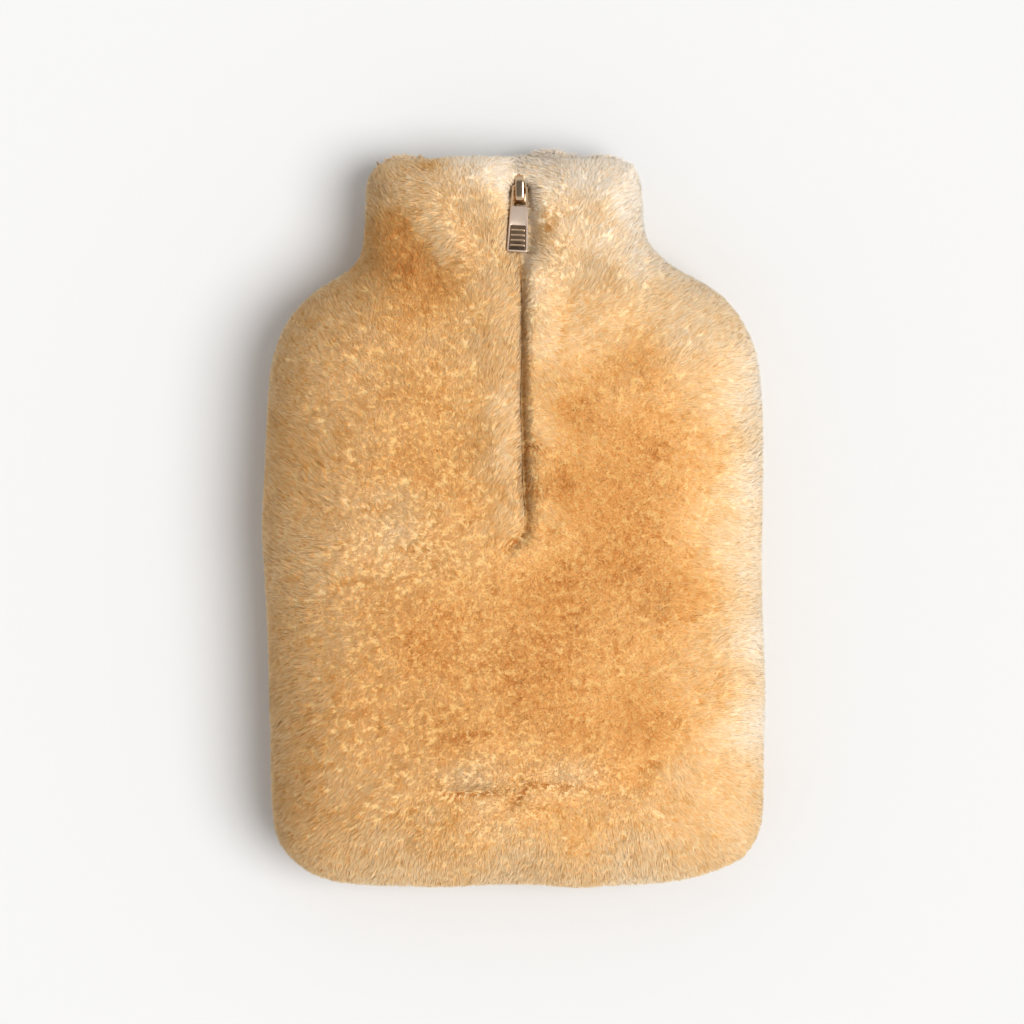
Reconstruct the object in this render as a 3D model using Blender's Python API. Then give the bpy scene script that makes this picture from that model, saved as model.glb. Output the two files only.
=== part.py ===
"""Hot water bottle cover in sheepskin, lying flat on its back with its neck towards +Y.

Two cut skins, wool side out, meet at a seam half way up the cover's sides and leave the bottle's room between
them, open at the neck's end. The front skin is slit from the neck's end to mid body for a zip. The zip's
slider is parked at the top, and a flat pull tag hangs from the slider's bridge and lies on the wool.
The scene is in metres. Sizes below are in millimetres, and MM turns them into metres.
"""

import math
from typing import NamedTuple

import bmesh
import bpy
import numpy as np
from mathutils import Matrix, Vector
from mathutils.bvhtree import BVHTree

MM = 0.001

# Skins
WALL = 15.0  # one skin with its wool
SEAM_GAP = 0.4  # between the two skins along the side seam
RIM_POWER = 2.2  # roundness of the rim's section: 2 is an ellipse
UNDERSIDE_REACH = 34.0  # from the outline to where the underside lies flat
END_BEND = 25.0  # how far the end edges' curve carries into the rows beside them
CROWN_FALL = 0.10  # share of its crown that the front skin loses between its middle and its sides
BODY_HALF_WIDTH = 122.0
NECK_HALF_WIDTH = 62.0

# Mouth in the neck's end
MOUTH_HEIGHT = 18.0
MOUTH_WIDTH = 112.0
MOUTH_ROUNDNESS = 0.75  # of its oval: 0.5 is an ellipse, 1 a lens
MOUTH_ACROSS = -4.5
MOUTH_FROM = 135.0  # along: the throat starts to narrow here
MOUTH_RUN_IN = 20.0

# Zip
SLIT_FOOT = -6.0  # along: where the slit ends, in mid body
CHAIN_FOOT = 3.0
CHAIN_HEAD = 162.4
TAPE_WIDTH = 4.8
TAPE_THICKNESS = 1.0
TEETH_WIDTH = 3.9
TEETH_HEIGHT = 1.2
TEETH_BEVEL = 0.5
ZIP_CLEARANCE = 0.4  # above the skin's inner face
LEVEL_FROM = 150.0  # along: from here to its head the zip is level

# Slider and its bridge
SLIDER_LENGTH = 15.0
SLIDER_WIDTH = 9.2
SLIDER_TAIL_WIDTH = 7.4
SLIDER_PLATE = 1.1
SLIDER_CLEARANCE = 0.35  # over and under the chain
SLIDER_CENTRE = (3.0, 161.8)
SLIDER_TURN = 1.0  # degrees about Z
SLIDER_SHOULDER = 4.0  # from the slider's head to its widest place
SLIDER_HEAD_WIDTH = 4.8
PLATE_CORNER = 1.0
NOSE_GAP = 0.6  # between the chain's head and the nose
NOSE_LENGTH = 3.2
NOSE_WIDTH = 3.6
LOWER_PLATE_WIDTH = 6.4
BRIDGE_LENGTH = 13.8
BRIDGE_WIDTH = 4.2
BRIDGE_ROOM = 2.9  # under the bridge, for the tag's bar
BRIDGE_THICKNESS = 1.3
BRIDGE_LEG = 1.4
BRIDGE_SEAT = 0.4  # of the bridge's legs in the upper plate
BRIDGE_CORNER = 0.35

# Pull tag
TAG_LENGTH = 34.0
TAG_TOP_WIDTH = 8.0
TAG_FOOT_WIDTH = 10.4
TAG_THICKNESS = 1.6
TAG_CORNER = 0.9
WINDOW_LENGTH = 9.4
WINDOW_WIDTH = 5.4
HOOK_BAR = 1.5  # the tag's bar under the bridge, along the tag
TAG_TOP = (3.3, 163.4)
TAG_TURN = -2.6  # degrees about Z
TAG_FREE = 7.5  # of the tag's length that stays over the slider
TAG_LIFT = 0.5  # of the tag above the wool it lies on
TAG_FLARE = 0.4  # each side, from the tag's top to its window's foot
WINDOW_CORNER = 1.0
PANEL_DEPTH = 0.35
PANEL_MARGIN = 1.0
PANEL_LENGTH = 11.0
PANEL_CORNER = 0.5
RIB_COUNT = 4
RIB_WIDTH = 0.8


class Side(NamedTuple):
    """The two side edges at one place along the cover."""

    along: float
    left: float
    right: float


SIDES = (
    Side(-168.0, -110.7, 114.0),
    Side(-162.0, -115.0, 118.4),
    Side(-154.0, -117.8, 121.8),
    Side(-140.0, -119.2, 123.2),
    Side(-115.0, -119.8, 123.6),
    Side(-90.0, -120.5, 124.3),
    Side(-60.0, -121.4, 123.6),
    Side(-40.0, -122.4, 122.9),
    Side(0.0, -124.2, 123.1),
    Side(22.0, -123.0, 123.4),
    Side(58.0, -121.3, 122.8),
    Side(72.0, -120.2, 121.6),
    Side(84.0, -117.4, 119.2),
    Side(95.0, -112.8, 114.4),
    Side(103.0, -107.0, 109.2),
    Side(111.5, -98.2, 100.8),
    Side(116.5, -90.3, 92.6),
    Side(120.5, -83.8, 85.0),
    Side(125.0, -78.8, 78.0),
    Side(130.0, -75.8, 72.4),
    Side(136.0, -74.3, 67.4),
    Side(143.0, -73.5, 64.8),
    Side(154.0, -73.0, 64.0),
    Side(165.0, -72.4, 63.0),
    Side(170.5, -70.6, 61.6),
    Side(174.4, -67.3, 59.4),
)


class BottomEdge(NamedTuple):
    """The bottom edge at one place across the cover."""

    across: float
    along: float


BOTTOM_EDGE = (
    BottomEdge(-110.7, -168.0),
    BottomEdge(-103.0, -174.2),
    BottomEdge(-92.0, -178.8),
    BottomEdge(-75.0, -181.2),
    BottomEdge(-55.0, -182.2),
    BottomEdge(-36.0, -182.8),
    BottomEdge(-10.0, -181.7),
    BottomEdge(15.0, -182.0),
    BottomEdge(31.5, -183.2),
    BottomEdge(50.0, -182.0),
    BottomEdge(70.0, -180.8),
    BottomEdge(88.0, -178.0),
    BottomEdge(104.0, -173.0),
    BottomEdge(114.0, -168.0),
)


class NeckEdge(NamedTuple):
    """The neck's end at one place across it: where the front skin and the back skin stop."""

    across: float
    front: float
    back: float


NECK_EDGE = (
    NeckEdge(-67.3, 174.4, 174.4),
    NeckEdge(-60.0, 176.6, 179.0),
    NeckEdge(-52.0, 176.8, 179.9),
    NeckEdge(-44.0, 177.0, 178.4),
    NeckEdge(-30.0, 178.4, 178.2),
    NeckEdge(-8.0, 178.6, 178.4),
    NeckEdge(5.0, 177.8, 180.6),
    NeckEdge(17.0, 177.2, 183.2),
    NeckEdge(24.0, 177.2, 182.6),
    NeckEdge(32.0, 177.4, 179.4),
    NeckEdge(50.0, 176.9, 178.9),
    NeckEdge(59.4, 174.4, 174.4),
)


class Section(NamedTuple):
    """The cover's thickness at one place along it."""

    along: float
    seam: float  # height of the side seam
    crown: float  # front skin's rise above the seam
    reach: float  # from the outline to where the front skin stops rising


SECTIONS = (
    Section(-184.0, 32.0, 31.0, 38.0),
    Section(-120.0, 34.0, 37.0, 44.0),
    Section(-40.0, 35.0, 39.0, 46.0),
    Section(50.0, 35.0, 39.0, 44.0),
    Section(95.0, 33.5, 35.5, 37.0),
    Section(135.0, 30.0, 29.5, 29.0),
    Section(184.0, 28.0, 26.5, 25.0),
)


class ZipLine(NamedTuple):
    """The slit for the zip, and the groove that the wool makes over it."""

    along: float
    across: float
    half_gap: float
    depth: float
    spread: float


ZIP_LINE = (
    ZipLine(-16.0, 4.0, 0.0, 0.0, 5.0),
    ZipLine(-6.0, 5.2, 0.0, 5.0, 4.5),
    ZipLine(2.0, 5.6, 2.6, 9.5, 4.5),
    ZipLine(12.0, 4.6, 2.9, 10.5, 4.5),
    ZipLine(35.0, 4.0, 2.9, 10.5, 4.5),
    ZipLine(58.0, 3.3, 2.9, 10.5, 4.5),
    ZipLine(80.0, 3.9, 2.9, 10.5, 4.5),
    ZipLine(105.0, 3.9, 2.9, 10.5, 5.0),
    ZipLine(131.0, 3.3, 2.9, 10.5, 6.5),
    ZipLine(146.0, 3.1, 3.6, 12.0, 8.5),
    ZipLine(152.0, 3.1, 5.2, 12.3, 9.0),
    ZipLine(164.0, 2.8, 5.2, 11.0, 9.0),
    ZipLine(170.0, 2.6, 5.2, 6.0, 8.0),
    ZipLine(174.0, 2.2, 3.0, 3.0, 7.0),
    ZipLine(179.0, 2.0, 1.2, 0.0, 6.0),
)


class Mound(NamedTuple):
    """A soft rise in the wool, or a fall where height is negative, with its long way turned about Z."""

    across: float
    along: float
    half_length: float
    half_width: float
    turn: float
    height: float


FRONT_WOOL = {
    "hollow beside the neck": Mound(-50.0, 132.0, 34.0, 11.0, -56.0, -4.0),
    "ridge along that hollow": Mound(-37.0, 147.0, 30.0, 9.0, -52.0, 2.0),
    "tail of the zip's groove": Mound(1.0, -11.5, 9.0, 4.0, 42.0, -3.0),
    "crest near the bottom": Mound(0.0, -128.5, 46.0, 7.0, 2.0, 2.6),
    "crease under the crest": Mound(-4.0, -138.0, 42.0, 5.5, -2.0, -3.2),
    "crease's right end": Mound(63.0, -127.0, 17.0, 5.0, 24.0, -2.2),
    "parting low on the left": Mound(-52.0, -145.0, 22.0, 6.0, -12.0, -1.6),
    "tufts across the left": Mound(-70.0, -5.0, 44.0, 8.0, 10.0, 1.8),
    "parting under those tufts": Mound(-84.0, -27.0, 38.0, 8.0, 2.0, -1.6),
    "tuft on the right": Mound(82.0, -40.0, 15.0, 9.0, 40.0, 2.0),
    "left lip of the groove": Mound(-8.0, 45.0, 62.0, 8.0, 90.0, 1.6),
    "right lip of the groove": Mound(17.0, 105.0, 48.0, 8.0, 94.0, 1.4),
    "swell of the right shoulder": Mound(62.0, 62.0, 40.0, 26.0, 30.0, 1.4),
    "swell of the left side": Mound(-62.0, 52.0, 44.0, 24.0, 70.0, 1.2),
}


class Run(NamedTuple):
    """A run of mesh rows along the cover, to the place named by end."""

    end: float
    steps: int


FRONT_START = -183.4
FRONT_RUNS = (
    Run(-181.9, 1),
    Run(-178.4, 1),
    Run(-172.4, 1),
    Run(-154.0, 2),
    Run(-116.0, 8),
    Run(-18.0, 8),
    Run(SLIT_FOOT, 2),
    Run(2.0, 1),
    Run(68.0, 6),
    Run(128.0, 7),
    Run(158.0, 4),
    Run(170.0, 2),
    Run(174.6, 1),
    Run(177.0, 1),
    Run(178.0, 1),
)
BACK_RUNS = (
    Run(-181.9, 1),
    Run(-177.4, 1),
    Run(-170.0, 1),
    Run(-148.0, 2),
    Run(68.0, 11),
    Run(128.0, 7),
    Run(158.0, 3),
    Run(170.0, 2),
    Run(176.0, 1),
    Run(178.0, 1),
)


class Columns(NamedTuple):
    """Mesh columns of half a skin: distances from the zip line, steps between, distances from the edge."""

    near_zip: tuple
    between: int
    near_edge: tuple


FRONT_COLUMNS = Columns((0.0, 2.2, 5.2, 9.5, 16.0), 4, (30.0, 19.0, 11.0, 5.0, 1.6, 0.0))
BACK_COLUMNS = Columns((0.0, 16.0), 4, (30.0, 19.0, 11.0, 5.0, 1.6, 0.0))

WOOL = (0.72, 0.43, 0.16, 1.0)
CHAMPAGNE = (0.78, 0.60, 0.47, 1.0)
TAPE = (0.42, 0.24, 0.09, 1.0)


def column(table, name):
    """One named column of a table, as an array."""
    return np.array([getattr(row, name) for row in table])


def smooth(at, stations, values):
    """A cubic curve through the stations, each slope taken from the neighbours, level past the ends."""
    stations, values = np.asarray(stations, float), np.asarray(values, float)
    slopes = np.gradient(values, stations)
    at = np.clip(at, stations[0], stations[-1])
    k = np.clip(np.searchsorted(stations, at) - 1, 0, len(stations) - 2)
    span = stations[k + 1] - stations[k]
    t = (at - stations[k]) / span
    rise = values[k + 1] - values[k]
    start, end = slopes[k] * span, slopes[k + 1] * span
    return values[k] + t * (start + t * (3 * rise - 2 * start - end + t * (start + end - 2 * rise)))


def read(table, name, at, by="along"):
    """A table's named column at the places given."""
    return smooth(at, column(table, by), column(table, name))


def rounded_rise(distance, reach):
    """0 at the edge, where it starts upright, and 1 from reach onwards, as a rounded rim."""
    left = 1 - np.clip(distance / reach, 0, 1)
    return (1 - left**RIM_POWER) ** (1 / RIM_POWER)


def row_places(runs):
    """Places along the cover of the mesh rows that the runs describe."""
    places = [FRONT_START]
    for run in runs:
        places += list(np.linspace(places[-1], run.end, run.steps + 1)[1:])
    return np.array(places)


def plan_of_half(side, rows, columns, neck_edge, inset):
    """(across, along) of one half of a skin's grid, drawn in from the outline by inset."""
    sign = -1 if side == "left" else 1
    share = ((rows - rows[0]) / (rows[-1] - rows[0]))[:, None]
    corner_low, corner_high = SIDES[0].along, SIDES[-1].along
    edge_along = corner_low + share * (corner_high - corner_low)
    edge = read(SIDES, side, edge_along)
    zip_low = read(BOTTOM_EDGE, "along", read(ZIP_LINE, "across", rows[0]), "across")
    zip_high = read(NECK_EDGE, neck_edge, read(ZIP_LINE, "across", rows[-1]), "across")
    centre_along = zip_low + share * (zip_high - zip_low)
    squeeze = 1 - 2 * inset / (zip_high - zip_low)
    middle = (zip_low + zip_high) / 2
    lip_along = middle + (centre_along - middle) * squeeze
    lip = read(ZIP_LINE, "across", lip_along)
    if columns is FRONT_COLUMNS:
        lip = lip + sign * np.where(lip_along > SLIT_FOOT, read(ZIP_LINE, "half_gap", lip_along), 0)
    width = np.abs(edge - lip) - inset
    near, far = np.array(columns.near_zip), np.array(columns.near_edge)
    far = far * np.minimum(width / NECK_HALF_WIDTH, 1)
    start, end = near[-1], width - far[:, :1]
    between = start + (end - start) * np.arange(1, columns.between + 1) / (columns.between + 1)
    near = np.broadcast_to(near, (len(rows), len(near)))
    u = np.hstack([near, between, width - far]) / width
    across = lip + sign * u * width
    level = centre_along + u * (edge_along - centre_along)
    outline_across = lip + u * (edge - lip)
    low = read(BOTTOM_EDGE, "along", outline_across, "across")
    high = read(NECK_EDGE, neck_edge, outline_across, "across")
    low_bend = np.exp(-(rows - rows[0]) / END_BEND)[:, None]
    high_bend = np.exp(-(rows[-1] - rows) / END_BEND)[:, None]
    along = level + low_bend * (low - level[:1]) + high_bend * (high - level[-1:])
    return across, middle + (along - middle) * squeeze


def distance_to_edge(across, along, outline):
    """Distance of each point from a closed outline, an array of its corners in order."""
    start, run = outline, np.roll(outline, -1, axis=0) - outline
    run_squared = np.maximum((run**2).sum(axis=1), 1e-12)
    points = np.stack([across, along], axis=-1)[..., None, :]
    t = np.clip(((points - start) * run).sum(axis=-1) / run_squared, 0, 1)
    nearest = start + t[..., None] * run
    return np.sqrt(((points - nearest) ** 2).sum(axis=-1)).min(axis=-1)


def mound_height(mound, across, along):
    """The mound's own height at each point, falling off as a bell both ways."""
    turn = math.radians(mound.turn)
    dx, dy = across - mound.across, along - mound.along
    length = (dx * math.cos(turn) + dy * math.sin(turn)) / mound.half_length
    width = (dy * math.cos(turn) - dx * math.sin(turn)) / mound.half_width
    return mound.height * np.exp(-(length**2) - width**2)


def wool_relief(across, along):
    """What the wool adds to the front skin's even crown: the groove over the zip, mounds and waviness."""
    off_zip = np.abs(across - read(ZIP_LINE, "across", along)) - read(ZIP_LINE, "half_gap", along)
    off_zip = np.maximum(off_zip, 0) / read(ZIP_LINE, "spread", along)
    groove = read(ZIP_LINE, "depth", along) * np.exp(-(off_zip**2))
    mounds = sum(mound_height(mound, across, along) for mound in FRONT_WOOL.values())
    waves = np.sin(across / 13 + np.sin(along / 21)) * np.sin(along / 15 + 1.3 * np.sin(across / 27))
    return mounds + 0.7 * waves - groove


def mouth_rise(across, along):
    """Half the mouth's height over each point of the neck's end."""
    off = np.clip(2 * (across - MOUTH_ACROSS) / MOUTH_WIDTH, -1, 1)
    near_end = np.clip((along - MOUTH_FROM) / MOUTH_RUN_IN, 0, 1)
    return MOUTH_HEIGHT / 2 * (1 - off**2) ** MOUTH_ROUNDNESS * near_end


def front_height(across, along, distance, inset):
    """Height of the front skin's outer face, or of its inner face where inset is the wall."""
    seam, mouth = read(SECTIONS, "seam", along), mouth_rise(across, along)
    crown = read(SECTIONS, "crown", along) * (1 - CROWN_FALL * (across / BODY_HALF_WIDTH) ** 2) - inset
    rise = rounded_rise(distance, read(SECTIONS, "reach", along) - inset)
    relief = wool_relief(across, along) if inset == 0 else 0
    return seam + SEAM_GAP / 2 + mouth + (np.maximum(crown, mouth) - mouth + relief) * rise


def back_height(across, along, distance, inset):
    """Height of the back skin's outer face, or of its inner face where inset is the wall."""
    seam, mouth = read(SECTIONS, "seam", along), mouth_rise(across, along)
    drop = seam - SEAM_GAP / 2 - inset
    rise = rounded_rise(distance, UNDERSIDE_REACH - inset)
    return seam - SEAM_GAP / 2 - mouth - (np.maximum(drop, mouth) - mouth) * rise


def halves(rows, columns, neck_edge, inset):
    """The grid of both halves of a skin in plan, and the outline that its outer columns and end rows draw."""
    left = np.stack(plan_of_half("left", rows, columns, neck_edge, inset), axis=-1)
    right = np.stack(plan_of_half("right", rows, columns, neck_edge, inset), axis=-1)
    up_the_left, down_the_right = left[:, -1], right[::-1, -1]
    over_the_neck = np.vstack([left[-1, -2::-1], right[-1, 1:-1]])
    along_the_bottom = np.vstack([right[0, -2:0:-1], left[0, :-1]])
    return left, right, np.vstack([up_the_left, over_the_neck, down_the_right, along_the_bottom])


def skin(name, runs, columns, neck_edge, height):
    """A skin with its wool as one closed solid: an outer and an inner face joined all round their edge."""
    rows = row_places(runs)
    mesh = bmesh.new()
    faces_of = {}
    for inset in (0.0, WALL):
        left, right, outline = halves(rows, columns, neck_edge, inset)
        grids = []
        for grid in (left, right):
            across, along = grid[..., 0], grid[..., 1]
            up = height(across, along, distance_to_edge(across, along, outline), inset)
            points = np.stack([across, along, up], axis=-1) * MM
            grids.append([[mesh.verts.new(point) for point in row] for row in points])
        left_half, right_half = grids
        for r, row in enumerate(rows):
            if columns is BACK_COLUMNS or row < SLIT_FOOT + 0.1:
                mesh.verts.remove(right_half[r][0])
                right_half[r][0] = left_half[r][0]
        faces_of[inset] = (left_half, right_half)
        for half in grids:
            for low, high in zip(half, half[1:]):
                for c in range(len(low) - 1):
                    mesh.faces.new((low[c], low[c + 1], high[c + 1], high[c]))
    twins = {}
    for outer, inner in zip(faces_of[0.0], faces_of[WALL]):
        for outer_row, inner_row in zip(outer, inner):
            twins.update(zip(outer_row, inner_row))
    edges = [edge for edge in mesh.edges if edge.is_boundary and all(v in twins for v in edge.verts)]
    for edge in edges:
        first, second = edge.verts
        mesh.faces.new((first, second, twins[second], twins[first]))
    close(mesh)
    return object_from(name, mesh)


def close(mesh):
    """Turns the faces of a closed mesh outwards and cuts them to triangles."""
    bmesh.ops.recalc_face_normals(mesh, faces=mesh.faces)
    bmesh.ops.triangulate(mesh, faces=mesh.faces)
    if mesh.calc_volume(signed=True) < 0:
        bmesh.ops.reverse_faces(mesh, faces=mesh.faces)


def object_from(name, mesh):
    """A smooth shaded object that holds the bmesh."""
    data = bpy.data.meshes.new(name)
    mesh.to_mesh(data)
    mesh.free()
    data.shade_smooth()
    data.set_sharp_from_angle(angle=math.radians(40))
    made = bpy.data.objects.new(name, data)
    bpy.context.scene.collection.objects.link(made)
    return made


def finish(made, colour, roughness, metallic):
    """The object's own Principled material."""
    material = bpy.data.materials.new(made.name)
    material.use_nodes = True
    shader = material.node_tree.nodes["Principled BSDF"]
    shader.inputs["Base Color"].default_value = colour
    shader.inputs["Roughness"].default_value = roughness
    shader.inputs["Metallic"].default_value = metallic
    made.data.materials.append(material)
    return made


def inner_crown(along):
    """Height of the front skin's inner face beside the zip."""
    across = read(ZIP_LINE, "across", along)
    end = NECK_EDGE[5].front - WALL
    return front_height(across, along, np.maximum(end - along, 0), WALL)


def chain_height(along):
    """Height of the zip's underside: it follows the skin's inner face, and runs level under its slider."""
    return inner_crown(np.minimum(along, LEVEL_FROM)) + ZIP_CLEARANCE


def zip_chain():
    """The tape with its closed teeth: a stepped section carried along the slit."""
    half_tape, half_teeth = TAPE_WIDTH / 2, TEETH_WIDTH / 2
    top = TAPE_THICKNESS + TEETH_HEIGHT
    section = (
        (-half_tape, 0.0),
        (half_tape, 0.0),
        (half_tape, TAPE_THICKNESS),
        (half_teeth, TAPE_THICKNESS),
        (half_teeth - TEETH_BEVEL, top),
        (-half_teeth + TEETH_BEVEL, top),
        (-half_teeth, TAPE_THICKNESS),
        (-half_tape, TAPE_THICKNESS),
    )
    mesh = bmesh.new()
    rings = []
    for along in np.linspace(CHAIN_FOOT, CHAIN_HEAD, 26):
        across, low = read(ZIP_LINE, "across", along), chain_height(along)
        rings.append([mesh.verts.new(Vector((across + x, along, low + z)) * MM) for x, z in section])
    for low, high in zip(rings, rings[1:]):
        for k in range(len(section)):
            nxt = (k + 1) % len(section)
            mesh.faces.new((low[k], low[nxt], high[nxt], high[k]))
    mesh.faces.new(rings[0])
    mesh.faces.new(rings[-1])
    close(mesh)
    return finish(object_from("zip_chain", mesh), TAPE, 0.7, 0.0)


def rounded(corners, radius, steps=4):
    """The polygon with an arc of the radius at each corner."""
    points = []
    for k, corner in enumerate(corners):
        here = Vector(corner)
        before, after = Vector(corners[k - 1]) - here, Vector(corners[(k + 1) % len(corners)]) - here
        half = before.angle(after) / 2
        cut = radius / math.tan(half)
        start, end = here + before.normalized() * cut, here + after.normalized() * cut
        centre = here + (before.normalized() + after.normalized()).normalized() * radius / math.sin(half)
        sweep = (start - centre).angle_signed(end - centre)
        for step in range(steps + 1):
            points.append(centre + Matrix.Rotation(-sweep * step / steps, 2) @ (start - centre))
    return points


def prism(name, outline, low, high, across_x=False):
    """The outline raised from low to high: an (x, y) outline along Z, or a (y, z) one along X."""
    mesh = bmesh.new()
    place = (lambda a, b, c: (c, a, b)) if across_x else (lambda a, b, c: (a, b, c))
    ends = [[mesh.verts.new(Vector(place(a, b, c)) * MM) for a, b in outline] for c in (low, high)]
    for end in ends:
        mesh.faces.new(end)
    for k in range(len(outline)):
        nxt = (k + 1) % len(outline)
        mesh.faces.new((ends[0][k], ends[0][nxt], ends[1][nxt], ends[1][k]))
    close(mesh)
    return object_from(name, mesh)


def combine(base, helper, operation):
    """The base joined with, or cut by, a helper that stays out of the renders."""
    helper.parent = base.parent
    helper.hide_render = True
    helper.display_type = "WIRE"
    modifier = base.modifiers.new(helper.name, "BOOLEAN")
    modifier.operation = operation
    modifier.solver = "EXACT"
    modifier.object = helper


def box(x, y):
    """Corners of a rectangle about the origin's X, from the half width x and the (low, high) pair y."""
    return ((-x, y[0]), (x, y[0]), (x, y[1]), (-x, y[1]))


def anchor(name, across, along, up, turn_z, lift_x=0.0):
    """An empty that places a piece: turned about Z after it is lifted about its own X."""
    made = bpy.data.objects.new(name, None)
    made.location = Vector((across, along, up)) * MM
    made.rotation_euler = (math.radians(lift_x), 0, math.radians(turn_z))
    bpy.context.scene.collection.objects.link(made)
    return made


def slider():
    """Two plates joined by a nose, round the chain, with an open bridge on the upper plate."""
    low, high = -SLIDER_LENGTH / 2, SLIDER_LENGTH / 2
    wide, tail = SLIDER_WIDTH / 2, SLIDER_TAIL_WIDTH / 2
    chain = TAPE_THICKNESS + TEETH_HEIGHT
    upper = chain + SLIDER_CLEARANCE
    lower = -SLIDER_CLEARANCE
    up = chain_height(SLIDER_CENTRE[1])
    place = anchor("slider_place", *SLIDER_CENTRE, up, SLIDER_TURN)
    shoulder, head = high - SLIDER_SHOULDER, SLIDER_HEAD_WIDTH / 2
    corners = ((-tail, low), (tail, low), (wide, shoulder), (head, high), (-head, high), (-wide, shoulder))
    outline = rounded(corners, PLATE_CORNER)
    made = prism("zip_slider", outline, upper, upper + SLIDER_PLATE)
    made.parent = place
    chain_end = CHAIN_HEAD - SLIDER_CENTRE[1] + NOSE_GAP
    nose = box(NOSE_WIDTH / 2, (chain_end, chain_end + NOSE_LENGTH))
    combine(made, prism("slider_nose", nose, lower - SLIDER_PLATE / 2, upper + SLIDER_PLATE / 2), "UNION")
    plate = rounded(box(LOWER_PLATE_WIDTH / 2, (low, chain_end + NOSE_LENGTH)), PLATE_CORNER)
    combine(made, prism("slider_under", plate, lower - SLIDER_PLATE, lower), "UNION")
    foot = upper + SLIDER_PLATE
    ceiling = foot + BRIDGE_ROOM
    reach = BRIDGE_LENGTH / 2
    hoop = rounded(
        (
            (-reach, foot - BRIDGE_SEAT),
            (reach, foot - BRIDGE_SEAT),
            (reach, ceiling + BRIDGE_THICKNESS),
            (-reach, ceiling + BRIDGE_THICKNESS),
        ),
        BRIDGE_CORNER,
    )
    combine(made, prism("slider_bridge", hoop, -BRIDGE_WIDTH / 2, BRIDGE_WIDTH / 2, True), "UNION")
    inside = reach - BRIDGE_LEG
    room = rounded(((-inside, foot), (inside, foot), (inside, ceiling), (-inside, ceiling)), BRIDGE_CORNER)
    combine(made, prism("bridge_room", room, -BRIDGE_WIDTH, BRIDGE_WIDTH, True), "DIFFERENCE")
    return finish(made, CHAMPAGNE, 0.2, 1.0)


def tag_slope(front, top):
    """The least slope, in degrees, at which the tag's underside clears the wool all along."""
    tree = BVHTree.FromObject(front, bpy.context.evaluated_depsgraph_get())
    turn = Matrix.Rotation(math.radians(TAG_TURN), 3, "Z")
    steepest = 0.0
    for along in np.linspace(TAG_FREE, TAG_LENGTH, 40):
        for across in np.linspace(-TAG_FOOT_WIDTH / 2, TAG_FOOT_WIDTH / 2, 9):
            spot = Vector(top) + turn @ Vector((across, -along, 0))
            above = Vector((spot.x, spot.y, 2 * top[2])) * MM
            hit = tree.ray_cast(above, Vector((0, 0, -1)))[0]
            if hit is not None:
                rise = hit.z / MM + TAG_LIFT + TAG_THICKNESS / 2 - top[2]
                steepest = max(steepest, math.degrees(math.atan2(rise, along)))
    return steepest


def pull_tag(front):
    """A flat tapered tag with a window at its top for the slider's bridge, and a ribbed panel below."""
    up = chain_height(TAG_TOP[1]) + TAPE_THICKNESS + TEETH_HEIGHT + SLIDER_CLEARANCE + SLIDER_PLATE
    top = (*TAG_TOP, up + BRIDGE_ROOM / 2)
    place = anchor("tag_place", *top, TAG_TURN, -tag_slope(front, top))
    narrow, wide, half = TAG_TOP_WIDTH / 2, TAG_FOOT_WIDTH / 2, TAG_THICKNESS / 2
    window_foot = -HOOK_BAR - WINDOW_LENGTH
    outline = (
        (-wide, -TAG_LENGTH),
        (wide, -TAG_LENGTH),
        (narrow + TAG_FLARE, window_foot),
        (narrow, 0.0),
        (-narrow, 0.0),
        (-narrow - TAG_FLARE, window_foot),
    )
    made = prism("zip_pull", rounded(outline, TAG_CORNER), -half, half)
    made.parent = place
    window = rounded(box(WINDOW_WIDTH / 2, (window_foot, -HOOK_BAR)), WINDOW_CORNER)
    combine(made, prism("tag_window", window, -2 * half, 2 * half), "DIFFERENCE")
    panel_low = -TAG_LENGTH + PANEL_MARGIN
    panel_high = panel_low + PANEL_LENGTH
    panel = rounded(box(wide - 1.5 * PANEL_MARGIN, (panel_low, panel_high)), PANEL_CORNER)
    combine(made, prism("tag_panel", panel, half - PANEL_DEPTH, 3 * half), "DIFFERENCE")
    pitch = PANEL_LENGTH / (RIB_COUNT + 1)
    for k in range(1, RIB_COUNT + 1):
        middle = panel_low + k * pitch
        rib = box(wide - 2.5 * PANEL_MARGIN, (middle - RIB_WIDTH / 2, middle + RIB_WIDTH / 2))
        combine(made, prism(f"tag_rib_{k}", rib, 0.0, half), "UNION")
    return finish(made, CHAMPAGNE, 0.2, 1.0)


def main():
    """The whole cover, with its underside on the floor and its middle over the origin."""
    for old in list(bpy.data.objects):
        bpy.data.objects.remove(old)
    back = finish(skin("back_panel", BACK_RUNS, BACK_COLUMNS, "back", back_height), WOOL, 0.9, 0.0)
    front = finish(skin("front_panel", FRONT_RUNS, FRONT_COLUMNS, "front", front_height), WOOL, 0.9, 0.0)
    cover = anchor("cover", 0, 0, 0, 0)
    chain = zip_chain()
    runner = slider()
    tag = pull_tag(front)
    for piece in (back, front, chain, runner.parent, tag.parent):
        piece.parent = cover


main()
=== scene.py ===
"""Looks of the sheepskin hot water bottle cover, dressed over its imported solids.

Each of the two skins is a thin hide, its dense wool as one slab, and the wool's tips as many thousand locks
that stand or lean as they were brushed. The zip, its slider and its pull tag are made in metal and tape. Sizes
are in millimetres, as on a maker's drawing, and MM turns them into metres.
"""

import logging
import math
from dataclasses import dataclass, field, replace
from enum import Enum
from typing import Callable, NamedTuple, Sequence

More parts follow.
